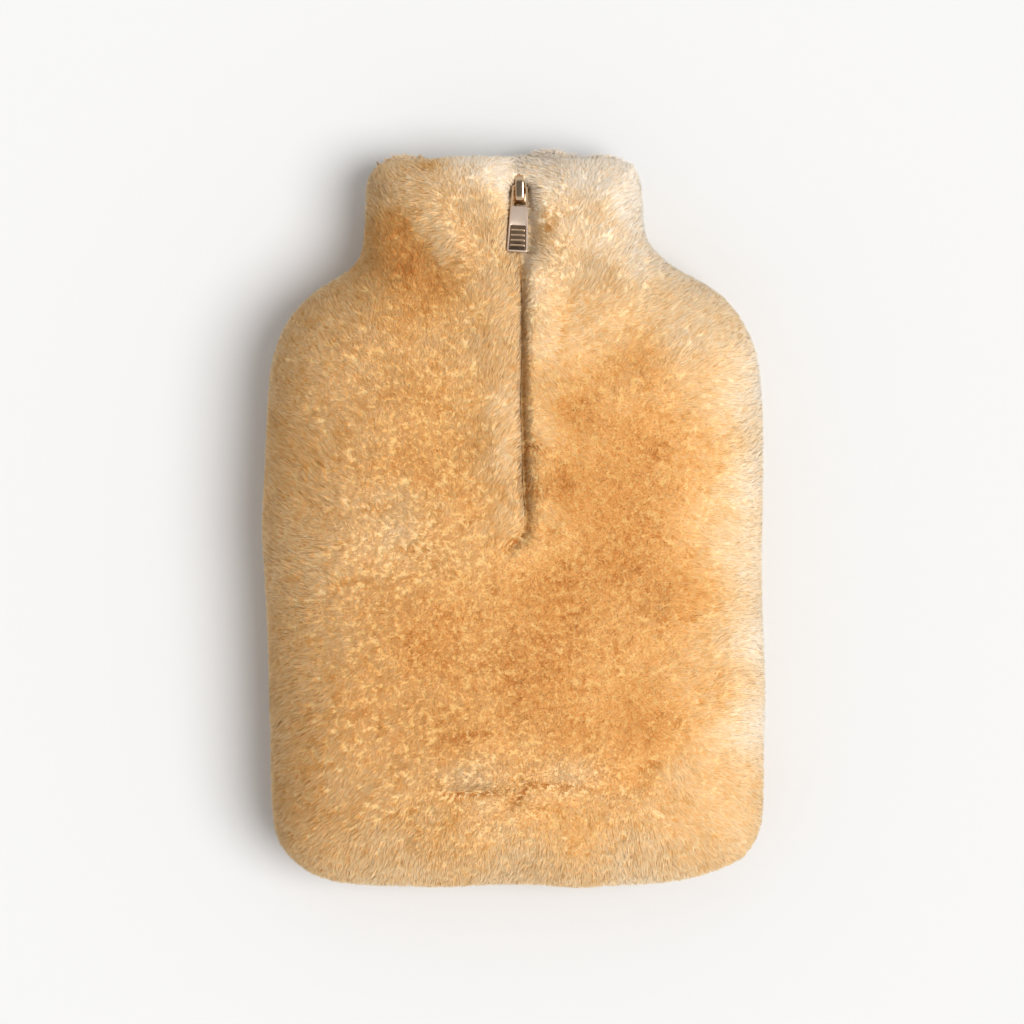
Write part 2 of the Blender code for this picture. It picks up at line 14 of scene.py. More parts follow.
import bmesh
import bpy
import numpy as np
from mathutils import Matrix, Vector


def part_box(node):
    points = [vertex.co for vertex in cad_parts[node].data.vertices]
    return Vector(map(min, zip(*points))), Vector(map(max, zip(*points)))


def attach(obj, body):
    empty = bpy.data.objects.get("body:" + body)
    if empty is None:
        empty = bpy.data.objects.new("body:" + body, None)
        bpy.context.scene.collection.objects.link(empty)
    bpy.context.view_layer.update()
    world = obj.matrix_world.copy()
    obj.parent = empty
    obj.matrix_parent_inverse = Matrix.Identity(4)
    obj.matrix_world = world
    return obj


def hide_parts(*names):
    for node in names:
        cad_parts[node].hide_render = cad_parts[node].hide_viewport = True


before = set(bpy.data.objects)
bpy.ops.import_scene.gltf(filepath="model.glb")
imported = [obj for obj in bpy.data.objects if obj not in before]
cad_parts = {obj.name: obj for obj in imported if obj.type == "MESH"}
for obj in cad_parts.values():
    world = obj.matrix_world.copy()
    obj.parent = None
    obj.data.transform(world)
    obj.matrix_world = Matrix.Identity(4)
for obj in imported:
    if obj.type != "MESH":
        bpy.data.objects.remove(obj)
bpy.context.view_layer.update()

MM = 0.001
BAKE_MAP = "OFBake"
Array = np.ndarray
Colour = tuple[float, float, float]
log = logging.getLogger("cover")


class Skin(Enum):
    """The two skins of the cover, by the name of their node."""

    FRONT = "front_panel"
    BACK = "back_panel"


class Half(Enum):
    """The two halves of a skin, by the sign of their side of the zip."""

    LEFT = -1
    RIGHT = 1


# ---------------------------------------------------------------------------------------------------------
# The cover's form, in the sizes of its solids
# ---------------------------------------------------------------------------------------------------------


def table(kind: type, *rows: tuple[float, ...]) -> tuple:
    """A table of one kind of row, each made from its numbers in the order of the kind's columns."""
    return tuple(kind(*(float(value) for value in row)) for row in rows)


class Side(NamedTuple):
    """The two side edges at one place along the cover."""

    along: float
    left: float
    right: float


SIDES = table(
    Side,
    (-168, -110.7, 114), (-162, -115, 118.4), (-154, -117.8, 121.8), (-140, -119.2, 123.2), (-115, -119.8, 123.6),
    (-90, -120.5, 124.3), (-60, -121.4, 123.6), (-40, -122.4, 122.9), (0, -124.2, 123.1), (22, -123, 123.4),
    (58, -121.3, 122.8), (72, -120.2, 121.6), (84, -117.4, 119.2), (95, -112.8, 114.4), (103, -107, 109.2),
    (111.5, -98.2, 100.8), (116.5, -90.3, 92.6), (120.5, -83.8, 85), (125, -78.8, 78), (130, -75.8, 72.4),
    (136, -74.3, 67.4), (143, -73.5, 64.8), (154, -73, 64), (165, -72.4, 63), (170.5, -70.6, 61.6),
    (174.4, -67.3, 59.4),
)


class BottomEdge(NamedTuple):
    """The bottom edge at one place across the cover."""

    across: float
    along: float


BOTTOM_EDGE = table(
    BottomEdge,
    (-110.7, -168), (-103, -174.2), (-92, -178.8), (-75, -181.2), (-55, -182.2), (-36, -182.8), (-10, -181.7),
    (15, -182), (31.5, -183.2), (50, -182), (70, -180.8), (88, -178), (104, -173), (114, -168),
)


class NeckEdge(NamedTuple):
    """The neck's end at one place across it: where the front skin and the back skin stop."""

    across: float
    front: float
    back: float


NECK_EDGE = table(
    NeckEdge,
    (-67.3, 174.4, 174.4), (-60, 176.6, 179), (-52, 176.8, 179.9), (-44, 177, 178.4), (-30, 178.4, 178.2),
    (-8, 178.6, 178.4), (5, 177.8, 180.6), (17, 177.2, 183.2), (24, 177.2, 182.6), (32, 177.4, 179.4),
    (50, 176.9, 178.9), (59.4, 174.4, 174.4),
)


LEFT_OF_ZIP = 5  # the row of NECK_EDGE just left of the zip


class Section(NamedTuple):
    """The cover's thickness at one place along it: the side seam's height, and the front's rise above it."""

    along: float
    seam: float
    crown: float
    reach: float


SECTIONS = table(
    Section,
    (-184, 32, 31, 38), (-120, 34, 37, 44), (-40, 35, 39, 46), (50, 35, 39, 44), (95, 33.5, 35.5, 37),
    (135, 30, 29.5, 29), (184, 28, 26.5, 25),
)


class ZipLine(NamedTuple):
    """The slit for the zip, and the groove that the wool makes over it."""

    along: float
    across: float
    half_gap: float
    depth: float
    spread: float


ZIP_LINE = table(
    ZipLine,
    (-16, 4, 0, 0, 5), (-6, 5.2, 0, 5, 4.5), (2, 5.6, 2.6, 9.5, 4.5), (12, 4.6, 2.9, 10.5, 4.5),
    (35, 4, 2.9, 10.5, 4.5), (58, 3.3, 2.9, 10.5, 4.5), (80, 3.9, 2.9, 10.5, 4.5), (105, 3.9, 2.9, 10.5, 5),
    (131, 3.3, 2.9, 10.5, 6.5), (146, 3.1, 3.6, 12, 8.5), (152, 3.1, 5.2, 12.3, 9), (164, 2.8, 5.2, 11, 9),
    (170, 2.6, 5.2, 6, 8), (174, 2.2, 3, 3, 7), (179, 2, 1.2, 0, 6),
)


class LooseGroove(NamedTuple):
    """The groove once the loose wool of both lips leans into it.

    gap is half the opening that is left for the slider, bed half the width of the groove's flat bottom,
    which the tag lies over, fall its depth, and left and right how far each lip rolls down into it.
    """

    along: float
    gap: float
    bed: float
    fall: float
    left: float
    right: float


LOOSE_GROOVE = table(
    LooseGroove,
    (-16, 0, 0, 0, 3, 4), (-6, 0, 0, 1.8, 2.4, 3.4), (2, 0, 0, 4.8, 2, 3.4), (12, 0, 0, 6.4, 1.8, 3.6),
    (58, 0, 0, 6.6, 1.8, 3), (85, 0, 0, 6.2, 1.8, 2.4), (112, 0, 0, 5.8, 2, 2.4), (121, 0, 0.4, 6.2, 2.2, 3),
    (127, 0, 2, 6.8, 2.4, 3.4), (131, 0, 4.9, 8.4, 2.4, 4), (138, 0, 5.4, 9.4, 2.4, 4.4),
    (148, 0, 5.2, 10.2, 2.4, 4.4), (154, 2.8, 5, 10.6, 2.4, 4.2), (158, 3.4, 4.8, 10.4, 2.6, 3.8),
    (166, 3, 3.6, 8, 3, 3.4), (168, 1.4, 2, 3.2, 3.6, 3.6), (169.6, 0, 0.6, 1.2, 4, 4), (172, 0, 0, 0.4, 5, 5),
    (179, 0, 0, 0, 5, 5),
)


class Mound(NamedTuple):
    """A soft rise in the wool, or a fall where height is negative, with its long way turned about Z."""

    across: float
    along: float
    half_length: float
    half_width: float
    turn: float
    height: float


def named_mounds(rows: dict[str, tuple[float, ...]]) -> dict[str, Mound]:
    """Mounds by their names, each made from its numbers in the order of the columns."""
    return {name: Mound(*(float(value) for value in row)) for name, row in rows.items()}


FRONT_WOOL = named_mounds({
    "hollow beside the neck": (-50, 132, 34, 11, -56, -4),
    "ridge along that hollow": (-37, 147, 30, 9, -52, 2),
    "tail of the zip's groove": (1, -11.5, 9, 4, 42, -3),
    "crest near the bottom": (0, -128.5, 46, 7, 2, 2.6),
    "crease under the crest": (-4, -138, 42, 5.5, -2, -3.2),
    "crease's right end": (63, -127, 17, 5, 24, -2.2),
    "parting low on the left": (-52, -145, 22, 6, -12, -1.6),
    "tufts across the left": (-70, -5, 44, 8, 10, 1.8),
    "parting under those tufts": (-84, -27, 38, 8, 2, -1.6),
    "tuft on the right": (82, -40, 15, 9, 40, 2),
    "left lip of the groove": (-8, 45, 62, 8, 90, 1.6),
    "right lip of the groove": (17, 105, 48, 8, 94, 1.4),
    "swell of the right shoulder": (62, 62, 40, 26, 30, 1.4),
    "swell of the left side": (-62, 52, 44, 24, 70, 1.2),
})

# Partings: thin falls in the loose wool, along which Wool.tufts also paints the tone darker, as painted shade in
# the creases.
PARTINGS = named_mounds({
    "dark line under the crest, left": (-19, -136, 16, 1.9, 3, -2.6),
    "dark line under the crest, right": (20, -132.5, 17, 1.6, -3, -2.2),
    "arc between those lines": (3, -137, 8, 1.8, 42, -2.5),
    "crease on the lower right": (66, -122, 8, 1.6, 20, -1.4),
    "crease on the lower left": (-56, -145, 8, 1.6, 20, -1.3),
    "faint line over the crest": (-24, -107, 13, 1.4, 6, -1.6),
    "faint line at the left edge": (-97, -122, 13, 1.5, 8, -1),
    "short line on the left": (-68, 4, 6, 1.4, -6, -1.7),
    "second short line on the left": (-61, 6, 3.5, 1.5, -30, -1.4),
    "upper parting by the zip": (9, 34.5, 5, 2.2, -18, -2.2),
    "lower parting by the zip": (10, 14.5, 5, 2.2, -14, -2),
    "curl of the groove's foot": (3.2, -9.5, 5.5, 1.7, 45, -2.6),
    "crease right of the zip": (23, 88, 9, 1.8, 82, -1.4),
    "second crease there": (27, 105, 8, 1.7, 70, -1.2),
    "hollow beside the tag": (17, 145, 8, 4, 74, -1.7),
    "dark tuft at the neck's edge": (-42, 174, 5, 2.4, 8, -1.4),
    "end of the ridge's fringe": (-29, 127, 4, 2.2, -30, -1.3),
    "dark spot below the zip": (-2.6, -14.2, 3.6, 2, 25, -2.6),
    "fold low on the left side": (-84, -33, 8, 1.7, 30, -1.2),
    "fold at the left edge": (-107, -31, 6, 1.6, 20, -1.2),
    "parting at the groove's foot": (16.5, -7, 5, 1.6, -18, -1.4),
    "line under the tufts on the left": (-50, -16, 9, 1.5, 8, -1.2),
})


class Brushed(NamedTuple):
    """How the wool lies near one place: which way its tips point, how far they lean, and how pale it is.

    heading is in degrees from +X towards +Y, lean in degrees off the skin, tone from 0, amber, to 1, cream.
    """

    across: float
    along: float
    heading: float
    lean: float
    tone: float


# The tone column is partly painted light: lower in the hollow beside the neck, where shade falls, and higher along
# the right edge and at the neck's end, where light falls.
BRUSHED = table(
    Brushed,
    (-7, 112, 62, 44, 0.68), (-7, 84, 56, 46, 0.66), (-5, 58, 50, 48, 0.74), (-5, 30, 50, 48, 0.74),
    (-4, 4, 55, 44, 0.68), (10, 116, -55, 42, 0.84), (13, 88, -42, 44, 0.76), (13, 66, -35, 36, 0.60),
    (12, 46, -30, 36, 0.64), (11, 24, -35, 32, 0.60), (12, 6, -40, 28, 0.58), (26, 52, -35, 20, 0.39),
    (25, 16, -40, 18, 0.35), (13, 128, 150, 42, 0.82), (-20, 96, 66, 26, 0.62), (-19, 62, 62, 22, 0.56),
    (-18, 34, 66, 20, 0.52), (-16, 4, 76, 18, 0.52), (30, 100, 40, 38, 0.70), (38, 147, 58, 34, 0.85),
    (43, 118, 52, 40, 0.75), (60, 152, 24, 40, 0.97), (60, 128, 30, 40, 0.87), (87, 92, 40, 42, 0.80),
    (60, 72, 20, 22, 0.50), (117, 60, 10, 46, 0.87), (118, 20, 6, 46, 0.87), (92, 30, 0, 24, 0.55),
    (118, -20, 14, 46, 0.86), (118, -60, 10, 46, 0.87), (117, -100, -6, 46, 0.88), (96, -84, 10, 28, 0.58),
    (98, -132, -30, 40, 0.67), (62, -100, -20, 20, 0.42), (3, -175, -96, 42, 0.71), (-60, -174, -105, 42, 0.71),
    (60, -174, -80, 42, 0.74), (-31, -146, 236, 28, 0.56), (30, -146, -68, 27, 0.53), (-22, -129, 118, 28, 0.72),
    (28, -127, 70, 28, 0.71), (-91, -140, 222, 36, 0.60), (-112, -90, 200, 44, 0.61), (-107, -26, 166, 40, 0.66),
    (-60, -4, 146, 26, 0.69), (-112, 30, 160, 42, 0.60), (-88, 62, 142, 24, 0.63), (-91, 103, 128, 34, 0.64),
    (-66, 160, 105, 40, 0.68), (-58, 143, 108, 26, 0.37), (-50, 127, 112, 22, 0.33), (-38, 113, 118, 22, 0.38),
    (-49, 162, 200, 44, 0.76), (-40, 147, 214, 46, 0.78), (-31, 134, 226, 48, 0.74), (-22, 152, 84, 38, 0.72),
    (-14, 140, 62, 40, 0.72), (-6, 173, -10, 54, 0.94), (1, 176, -80, 54, 0.96), (4, 176, -100, 54, 0.96),
    (11, 173, 185, 50, 0.93), (-22, 175, 92, 40, 0.89), (40, 172, 70, 40, 0.96), (-41, -60, 250, 12, 0.45),
    (20, -40, 300, 10, 0.41), (10, -80, 280, 12, 0.42), (-28, -108, 250, 14, 0.48), (30, -108, 290, 14, 0.46),
    (50, -20, 320, 12, 0.41), (-46, 58, 136, 20, 0.54), (-40, 30, 140, 16, 0.48), (-70, -80, 225, 18, 0.54),
    (-88, -60, 210, 24, 0.60), (62, 33, -44, 16, 0.44), (50, 5, -44, 14, 0.42), (82, -40, 12, 26, 0.48),
)


def column(rows: Sequence[NamedTuple], name: str) -> Array:
    """One named column of a table, as an array."""
    return np.array([getattr(row, name) for row in rows])


def smooth(at: Array, stations: Array, values: Array) -> Array:
    """A cubic curve through the stations, each slope taken from the neighbours, level past the ends.

    Args:
        at: Places to read the curve at.
        stations: Places of the known values, rising.
        values: The known values.

    Returns:
        The curve's values.
    """
    slopes = np.gradient(values, stations)
    at = np.clip(at, stations[0], stations[-1])
    k = np.clip(np.searchsorted(stations, at) - 1, 0, len(stations) - 2)
    span = stations[k + 1] - stations[k]
    t = (at - stations[k]) / span
    rise = values[k + 1] - values[k]
    start, end = slopes[k] * span, slopes[k + 1] * span
    return values[k] + t * (start + t * (3 * rise - 2 * start - end + t * (start + end - 2 * rise)))


def read(rows: Sequence[NamedTuple], name: str, at: Array, by: str = "along") -> Array:
    """A table's named column at the places given, along its column by."""
    return smooth(np.asarray(at, float), column(rows, by), column(rows, name))


def turned(x: Array, y: Array, angle: float | Array) -> tuple[Array, Array]:
    """Plan coordinates turned by an angle: (x cos a - y sin a, x sin a + y cos a)."""
    return x * np.cos(angle) - y * np.sin(angle), x * np.sin(angle) + y * np.cos(angle)


def mound_share(mound: Mound, across: Array, along: Array) -> Array:
    """How near each point is to the mound's middle: a bell both ways, exp(-length^2 - width^2)."""
    length, width = turned(across - mound.across, along - mound.along, -math.radians(mound.turn))
    return np.exp(-((length / mound.half_length) ** 2) - (width / mound.half_width) ** 2)


@dataclass(frozen=True)
class Layer:
    """Which face of a skin is meant.

    Attributes:
        inset: How far inside the wool's tips it lies.
        loose: Whether loose wool leans over the groove, and the fine partings are in it.
    """

    inset: float
    loose: bool = False


@dataclass(frozen=True)
class CoverForm:
    """The cover's two skins as surfaces: the same outline, sections and relief as its solids."""

    wall: float = 15.0
    seam_gap: float = 0.4
    rim_power: float = 2.2
    underside_reach: float = 34.0
    end_bend: float = 25.0
    crown_fall: float = 0.10
    body_half_width: float = 122.0
    neck_half_width: float = 62.0
    mouth_height: float = 18.0
    mouth_width: float = 112.0
    mouth_roundness: float = 0.75
    mouth_across: float = -4.5
    mouth_from: float = 135.0
    mouth_run_in: float = 20.0
    slit_foot: float = -6.0
    low_end: float = -183.4
    high_end: float = 178.0
    end_run: float = 36.0
    end_rows: int = 14
    middle_rows: int = 76
    near_zip: float = 16.0
    near_zip_columns: int = 13
    near_edge: float = 34.0
    near_edge_columns: int = 13
    between_columns: int = 20
    wave_height: float = 0.7
    waves_across: tuple[float, float] = (13.0, 27.0)
    waves_along: tuple[float, float] = (21.0, 15.0)
    wave_bend: float = 1.3
    zip_clearance: float = 0.4
    zip_level_from: float = 150.0

    def rows(self) -> Array:
        """Places of the mesh rows along the middle, crowding towards both ends as a square does."""
        crowd = np.linspace(0, 1, self.end_rows) ** 2 * self.end_run
        middle = np.linspace(self.low_end + self.end_run, self.high_end - self.end_run, self.middle_rows)
        return np.concatenate([self.low_end + crowd, middle[1:-1], (self.high_end - crowd)[::-1]])

    def rounded_rise(self, distance: Array, reach: Array) -> Array:
        """0 at the edge, where it starts upright, and 1 from reach onwards, as a rounded rim."""
        left = 1 - np.clip(distance / reach, 0, 1)
        return (1 - left**self.rim_power) ** (1 / self.rim_power)

    def half_gap(self, along: Array, layer: Layer) -> Array:
        """Half the slit's width, which loose wool closes but for the slider."""
        gap = read(ZIP_LINE, "half_gap", along)
        return np.minimum(gap, np.maximum(read(LOOSE_GROOVE, "gap", along), 0)) if layer.loose else gap

    def plan(self, skin: Skin, half: Half, layer: Layer) -> tuple[Array, Array]:
        """The grid of half a skin in plan.

        Rows run along the cover and columns from the zip line to the side edge. Each row slides between
        the end edges' curves, and the whole grid is drawn in from the outline by inset.

        Args:
            skin: The skin.
            half: Its half.
            layer: Which of its faces, for how far inside the outline it ends and how open its slit is.

        Returns:
            Two arrays of rows and columns: places across and along.
        """
        rows, sign, inset = self.rows(), half.value, layer.inset
        side = "left" if half is Half.LEFT else "right"
        neck_edge = "front" if skin is Skin.FRONT else "back"
        share = ((rows - rows[0]) / (rows[-1] - rows[0]))[:, None]
        corner_low, corner_high = SIDES[0].along, SIDES[-1].along
        edge_along = corner_low + share * (corner_high - corner_low)
        edge = read(SIDES, side, edge_along)
        zip_low = read(BOTTOM_EDGE, "along", read(ZIP_LINE, "across", rows[0]), "across")
        zip_high = read(NECK_EDGE, neck_edge, read(ZIP_LINE, "across", rows[-1]), "across")
        centre_along = zip_low + share * (zip_high - zip_low)
        squeeze = 1 - 2 * inset / (zip_high - zip_low)
        middle = (zip_low + zip_high) / 2
        lip_along = middle + (centre_along - middle) * squeeze
        lip = read(ZIP_LINE, "across", lip_along)
        if skin is Skin.FRONT:
            lip = lip + sign * np.where(lip_along > self.slit_foot, self.half_gap(lip_along, layer), 0)
        width = np.abs(edge - lip) - inset
        near = self.near_zip * np.linspace(0, 1, self.near_zip_columns) ** 2
        far = self.near_edge * np.linspace(1, 0, self.near_edge_columns) ** 2
        far = far * np.minimum(width / self.neck_half_width, 1)
        start, end = near[-1], width - far[:, :1]
        steps = np.arange(1, self.between_columns + 1) / (self.between_columns + 1)
        near = np.broadcast_to(near, (len(rows), len(near)))
        u = np.hstack([near, start + (end - start) * steps, width - far]) / width
        level = centre_along + u * (edge_along - centre_along)
        outline_across = lip + u * (edge - lip)
        low = read(BOTTOM_EDGE, "along", outline_across, "across")
        high = read(NECK_EDGE, neck_edge, outline_across, "across")
        low_bend = np.exp(-(rows - rows[0]) / self.end_bend)[:, None]
        high_bend = np.exp(-(rows[-1] - rows) / self.end_bend)[:, None]
        along = level + low_bend * (low - level[:1]) + high_bend * (high - level[-1:])
        return lip + sign * u * width, middle + (along - middle) * squeeze

    def distance(self, across: Array, along: Array, outline: Array) -> Array:
        """Distance of each point from a closed outline: the least over the outline's straight pieces.

        Args:
            across: The points' places across.
            along: Their places along.
            outline: The outline's corners as rows of (across, along).

        Returns:
            The distances.
        """
        run = np.roll(outline, -1, axis=0) - outline
        run_squared = np.maximum((run**2).sum(axis=1), 1e-12)
        points = np.stack([across, along], axis=-1)[..., None, :]
        t = np.clip(((points - outline) * run).sum(axis=-1) / run_squared, 0, 1)
        nearest = outline + t[..., None] * run
        return np.sqrt(((points - nearest) ** 2).sum(axis=-1)).min(axis=-1)

    def relief(self, across: Array, along: Array, layer: Layer) -> Array:
        """What the wool adds to the even crown: mounds and waves, less the groove over the zip.

        Args:
            across: Places across.
            along: Places along.
            layer: The face that is meant.

        Returns:
            The rise at each place.
        """
        off_zip = across - read(ZIP_LINE, "across", along)
        if layer.loose:
            depth, bed = read(LOOSE_GROOVE, "fall", along), np.maximum(read(LOOSE_GROOVE, "bed", along), 0)
            spread = np.where(off_zip < 0, read(LOOSE_GROOVE, "left", along), read(LOOSE_GROOVE, "right", along))
        else:
            depth, bed, spread = (read(ZIP_LINE, name, along) for name in ("depth", "half_gap", "spread"))
        groove = depth * np.exp(-((np.maximum(np.abs(off_zip) - bed, 0) / spread) ** 2))
        named = list(FRONT_WOOL.values()) + (list(PARTINGS.values()) if layer.loose else [])
        mounds = sum(mound.height * mound_share(mound, across, along) for mound in named)
        waves = np.sin(across / self.waves_across[0] + np.sin(along / self.waves_along[0]))
        bend = self.wave_bend * np.sin(across / self.waves_across[1])
        waves = waves * np.sin(along / self.waves_along[1] + bend)
        return mounds + self.wave_height * waves - groove

    def mouth_rise(self, across: Array, along: Array) -> Array:
        """Half the mouth's height over each point of the neck's end: a lens that narrows into the neck."""
        off = np.clip(2 * (across - self.mouth_across) / self.mouth_width, -1, 1)
        near_end = np.clip((along - self.mouth_from) / self.mouth_run_in, 0, 1)
        return self.mouth_height / 2 * (1 - off**2) ** self.mouth_roundness * near_end

    def height(self, skin: Skin, across: Array, along: Array, distance: Array, layer: Layer) -> Array:
        """Height of a layer: from the seam it rises to the crown, or falls to the floor, as a rounded rim.

        Args:
            skin: The skin.
            across: Places across.
            along: Places along.
            distance: Each place's distance from the outline.
            layer: Which of the skin's faces.

        Returns:
            The heights.
        """
        seam, mouth = read(SECTIONS, "seam", along), self.mouth_rise(across, along)
        if skin is Skin.BACK:
            drop = seam - self.seam_gap / 2 - layer.inset
            rise = self.rounded_rise(distance, self.underside_reach - layer.inset)
            return seam - self.seam_gap / 2 - mouth - (np.maximum(drop, mouth) - mouth) * rise
        fall = 1 - self.crown_fall * (across / self.body_half_width) ** 2
        crown = read(SECTIONS, "crown", along) * fall - layer.inset
        rise = self.rounded_rise(distance, read(SECTIONS, "reach", along) - layer.inset)
        relief = self.relief(across, along, layer) if layer.inset == 0 else 0
        return seam + self.seam_gap / 2 + mouth + (np.maximum(crown, mouth) - mouth + relief) * rise

    def surface(self, skin: Skin, layer: Layer) -> Array:
        """A layer of a skin as points.

        Args:
            skin: The skin.
            layer: Which of its faces.

        Returns:
            Points in metres, as an array of halves, rows, columns and XYZ.
        """
        plans = [self.plan(skin, half, layer) for half in Half]
        left, right = (np.stack(plan, axis=-1) for plan in plans)
        over_the_neck = np.vstack([left[-1, -2::-1], right[-1, 1:-1]])
        along_the_bottom = np.vstack([right[0, -2:0:-1], left[0, :-1]])
        outline = np.vstack([left[:, -1], over_the_neck, right[::-1, -1], along_the_bottom])
        halves = []
        for across, along in plans:
            distance = self.distance(across, along, outline)
            halves.append(np.stack([across, along, self.height(skin, across, along, distance, layer)], axis=-1))
        return np.stack(halves) * MM

    def slit_row(self, skin: Skin) -> int:
        """The first row in which the two halves part. The back skin has none."""
        if skin is Skin.BACK:
            return len(self.rows())
        left, right = (self.plan(skin, half, Layer(0.0))[0][:, 0] for half in Half)
        return int(np.argmax(right - left > 1e-6))

    def zip_height(self, along: Array) -> Array:
        """Height of the zip's underside: it follows the front skin's inner face, level under its slider."""
        along = np.minimum(along, self.zip_level_from)
        across = read(ZIP_LINE, "across", along)
        end = NECK_EDGE[LEFT_OF_ZIP].front - self.wall
        layer = Layer(self.wall)
        return self.height(Skin.FRONT, across, along, np.maximum(end - along, 0), layer) + self.zip_clearance


LIE_NEAR = 30.0  # added to each squared distance, so that no row rules its surroundings alone
ACROSS_ZIP = 0.01  # what a row counts for on the other side of the zip


def lie_of_wool(across: Array, along: Array, half: Array) -> tuple[Array, Array]:
    """How the wool lies at each place: the BRUSHED rows, each weighted by 1 / distance^3.

    A row on the other side of the zip counts for almost nothing.

    Args:
        across: Places across.
        along: Places along.
        half: The half of the skin that each is on.

    Returns:
        The lean as a plan vector whose length is the tangent of its angle, and the tone.
    """
    row_across, row_along = column(BRUSHED, "across"), column(BRUSHED, "along")
    squared = (across[:, None] - row_across) ** 2 + (along[:, None] - row_along) ** 2
    weight = (squared + LIE_NEAR) ** -1.5
    row_half = np.where(row_across > read(ZIP_LINE, "across", row_along), 1, -1)
    slit_foot = CoverForm().slit_foot
    beside_zip = (along[:, None] > slit_foot) & (row_along > slit_foot)
    weight = np.where(beside_zip & (half[:, None] != row_half), weight * ACROSS_ZIP, weight)
    weight /= weight.sum(axis=1, keepdims=True)
    heading, lean = np.radians(column(BRUSHED, "heading")), np.tan(np.radians(column(BRUSHED, "lean")))
    vectors = np.stack([np.cos(heading) * lean, np.sin(heading) * lean], axis=-1)
    return weight @ vectors, weight @ column(BRUSHED, "tone")


NECK_END, NECK_END_RUN = 160.0, 14.0  # along: where the neck's end sets in, and its run
FOOT_END, FOOT_END_RUN = -155.0, 20.0  # the same at the bottom edge


def neck_end(along: Array) -> Array:
    """0 on the body, and 1 at the neck's end."""
    return np.clip((along - NECK_END) / NECK_END_RUN, 0, 1)


def foot_end(along: Array) -> Array:
    """0 on the body, and 1 at its bottom edge."""
    return np.clip((FOOT_END - along) / FOOT_END_RUN, 0, 1)


# ---------------------------------------------------------------------------------------------------------
# Meshes
# ---------------------------------------------------------------------------------------------------------


def unit(vectors: Array) -> Array:
    """The vectors at length 1."""
    return vectors / np.maximum(np.linalg.norm(vectors, axis=-1, keepdims=True), 1e-9)


def mesh_object(name: str, points: Array, faces: Array) -> bpy.types.Object:
    """An object at the origin with the mesh given as arrays, shaded smooth.

    Args:
        name: The piece's name.
        points: Its points in metres.
        faces: Its faces as rows of point numbers, all with the same number of corners.

    Returns:
        The object, linked to the scene.
    """
    mesh = bpy.data.meshes.new(name)
    mesh.vertices.add(len(points))
    mesh.vertices.foreach_set("co", np.ascontiguousarray(points, np.float32).ravel())
    mesh.loops.add(faces.size)
    mesh.loops.foreach_set("vertex_index", np.ascontiguousarray(faces, np.int32).ravel())
    mesh.polygons.add(len(faces))
    mesh.polygons.foreach_set("loop_start", np.arange(len(faces), dtype=np.int32) * faces.shape[1])
    mesh.polygons.foreach_set("use_smooth", np.ones(len(faces), bool))
    mesh.update(calc_edges=True)
    made = bpy.data.objects.new(name, mesh)
    bpy.context.scene.collection.objects.link(made)
    return made


def without_spares(points: Array, faces: Array) -> tuple[Array, Array]:
    """The points that the faces use, and the faces renumbered for them."""
    used, numbers = np.unique(faces, return_inverse=True)
    return points[used], numbers.reshape(faces.shape)


def slab(name: str, outer: Array, inner: Array, slit_row: int, skin: Skin) -> bpy.types.Object:
    """A closed slab between two layers of a skin, with a wall of quads round its edge and its slit.

    Args:
        name: The piece's name.
        outer: The layer that faces out, as CoverForm.surface gives it.
        inner: The layer that faces in, on the same grid.
        slit_row: The first row in which the halves part.
        skin: The skin, which says which way out is.

    Returns:
        The object.
    """
    halves, rows, columns, _ = outer.shape
    ids = np.arange(halves * rows * columns).reshape(halves, rows, columns)
    ids[1, :slit_row, 0] = ids[0, :slit_row, 0]
    here, beside = ids[:, :-1, :-1], ids[:, :-1, 1:]
    above, across = ids[:, 1:, :-1], ids[:, 1:, 1:]
    quads = np.stack([here, beside, across, above], axis=-1)
    quads[0] = quads[0][..., ::-1]
    if skin is Skin.BACK:
        quads = quads[..., ::-1]
    quads = quads.reshape(-1, 4)
    starts, ends = quads.ravel(), np.roll(quads, -1, axis=1).ravel()
    count = outer.size // 3
    edge_keys, back_keys = starts * count + ends, ends * count + starts
    rim = ~np.isin(edge_keys, back_keys)
    starts, ends = starts[rim], ends[rim]
    walls = np.stack([ends, starts, starts + count, ends + count], axis=-1)
    faces = np.vstack([quads, quads[:, ::-1] + count, walls])
    points = np.vstack([outer.reshape(-1, 3), inner.reshape(-1, 3)])
    return mesh_object(name, *without_spares(points, faces))


def map_tones(made: bpy.types.Object, tones: Array, ups: Array) -> None:
    """Writes the tone of each point across the piece's own map, and its place from root to tip up it.

    Args:
        made: The piece.
        tones: The tone of each of its points.
        ups: Their places from root to tip, from 0 to 1.
    """
    mesh = made.data
    corners = np.empty(len(mesh.loops), np.int32)
    mesh.loops.foreach_get("vertex_index", corners)
    spots = np.stack([np.clip(tones, 0.01, 0.99), ups], axis=-1)[corners]
    layer = mesh.uv_layers.new(name=BAKE_MAP)
    layer.data.foreach_set("uv", spots.astype(np.float32).ravel())


def vertices_of(made: bpy.types.Object) -> Array:
    """The piece's points, as its mesh keeps them."""
    flat = np.empty(len(made.data.vertices) * 3, np.float32)
    made.data.vertices.foreach_get("co", flat)
    return flat.reshape(-1, 3)


def settle(made: bpy.types.Object, place: Callable[[Array], Array]) -> None:
    """Moves a mesh made in a piece's own frame, in millimetres, to its place on the cover, in metres."""
    moved = place(vertices_of(made))
    made.data.vertices.foreach_set("co", moved.astype(np.float32).ravel())
    made.data.update()


def grid_normals(points: Array, skin: Skin) -> Array:
    """Outward normals of a layer: the cross product of its run across and its run along.

    Args:
        points: The layer, as CoverForm.surface gives it.
        skin: The skin.

    Returns:
        The normals on the same grid.
    """
    run_across = np.gradient(points, axis=2)
    run_along = np.gradient(points, axis=1)
    normals = unit(np.cross(run_across, run_along))
    normals[0] *= -1
    return -normals if skin is Skin.BACK else normals


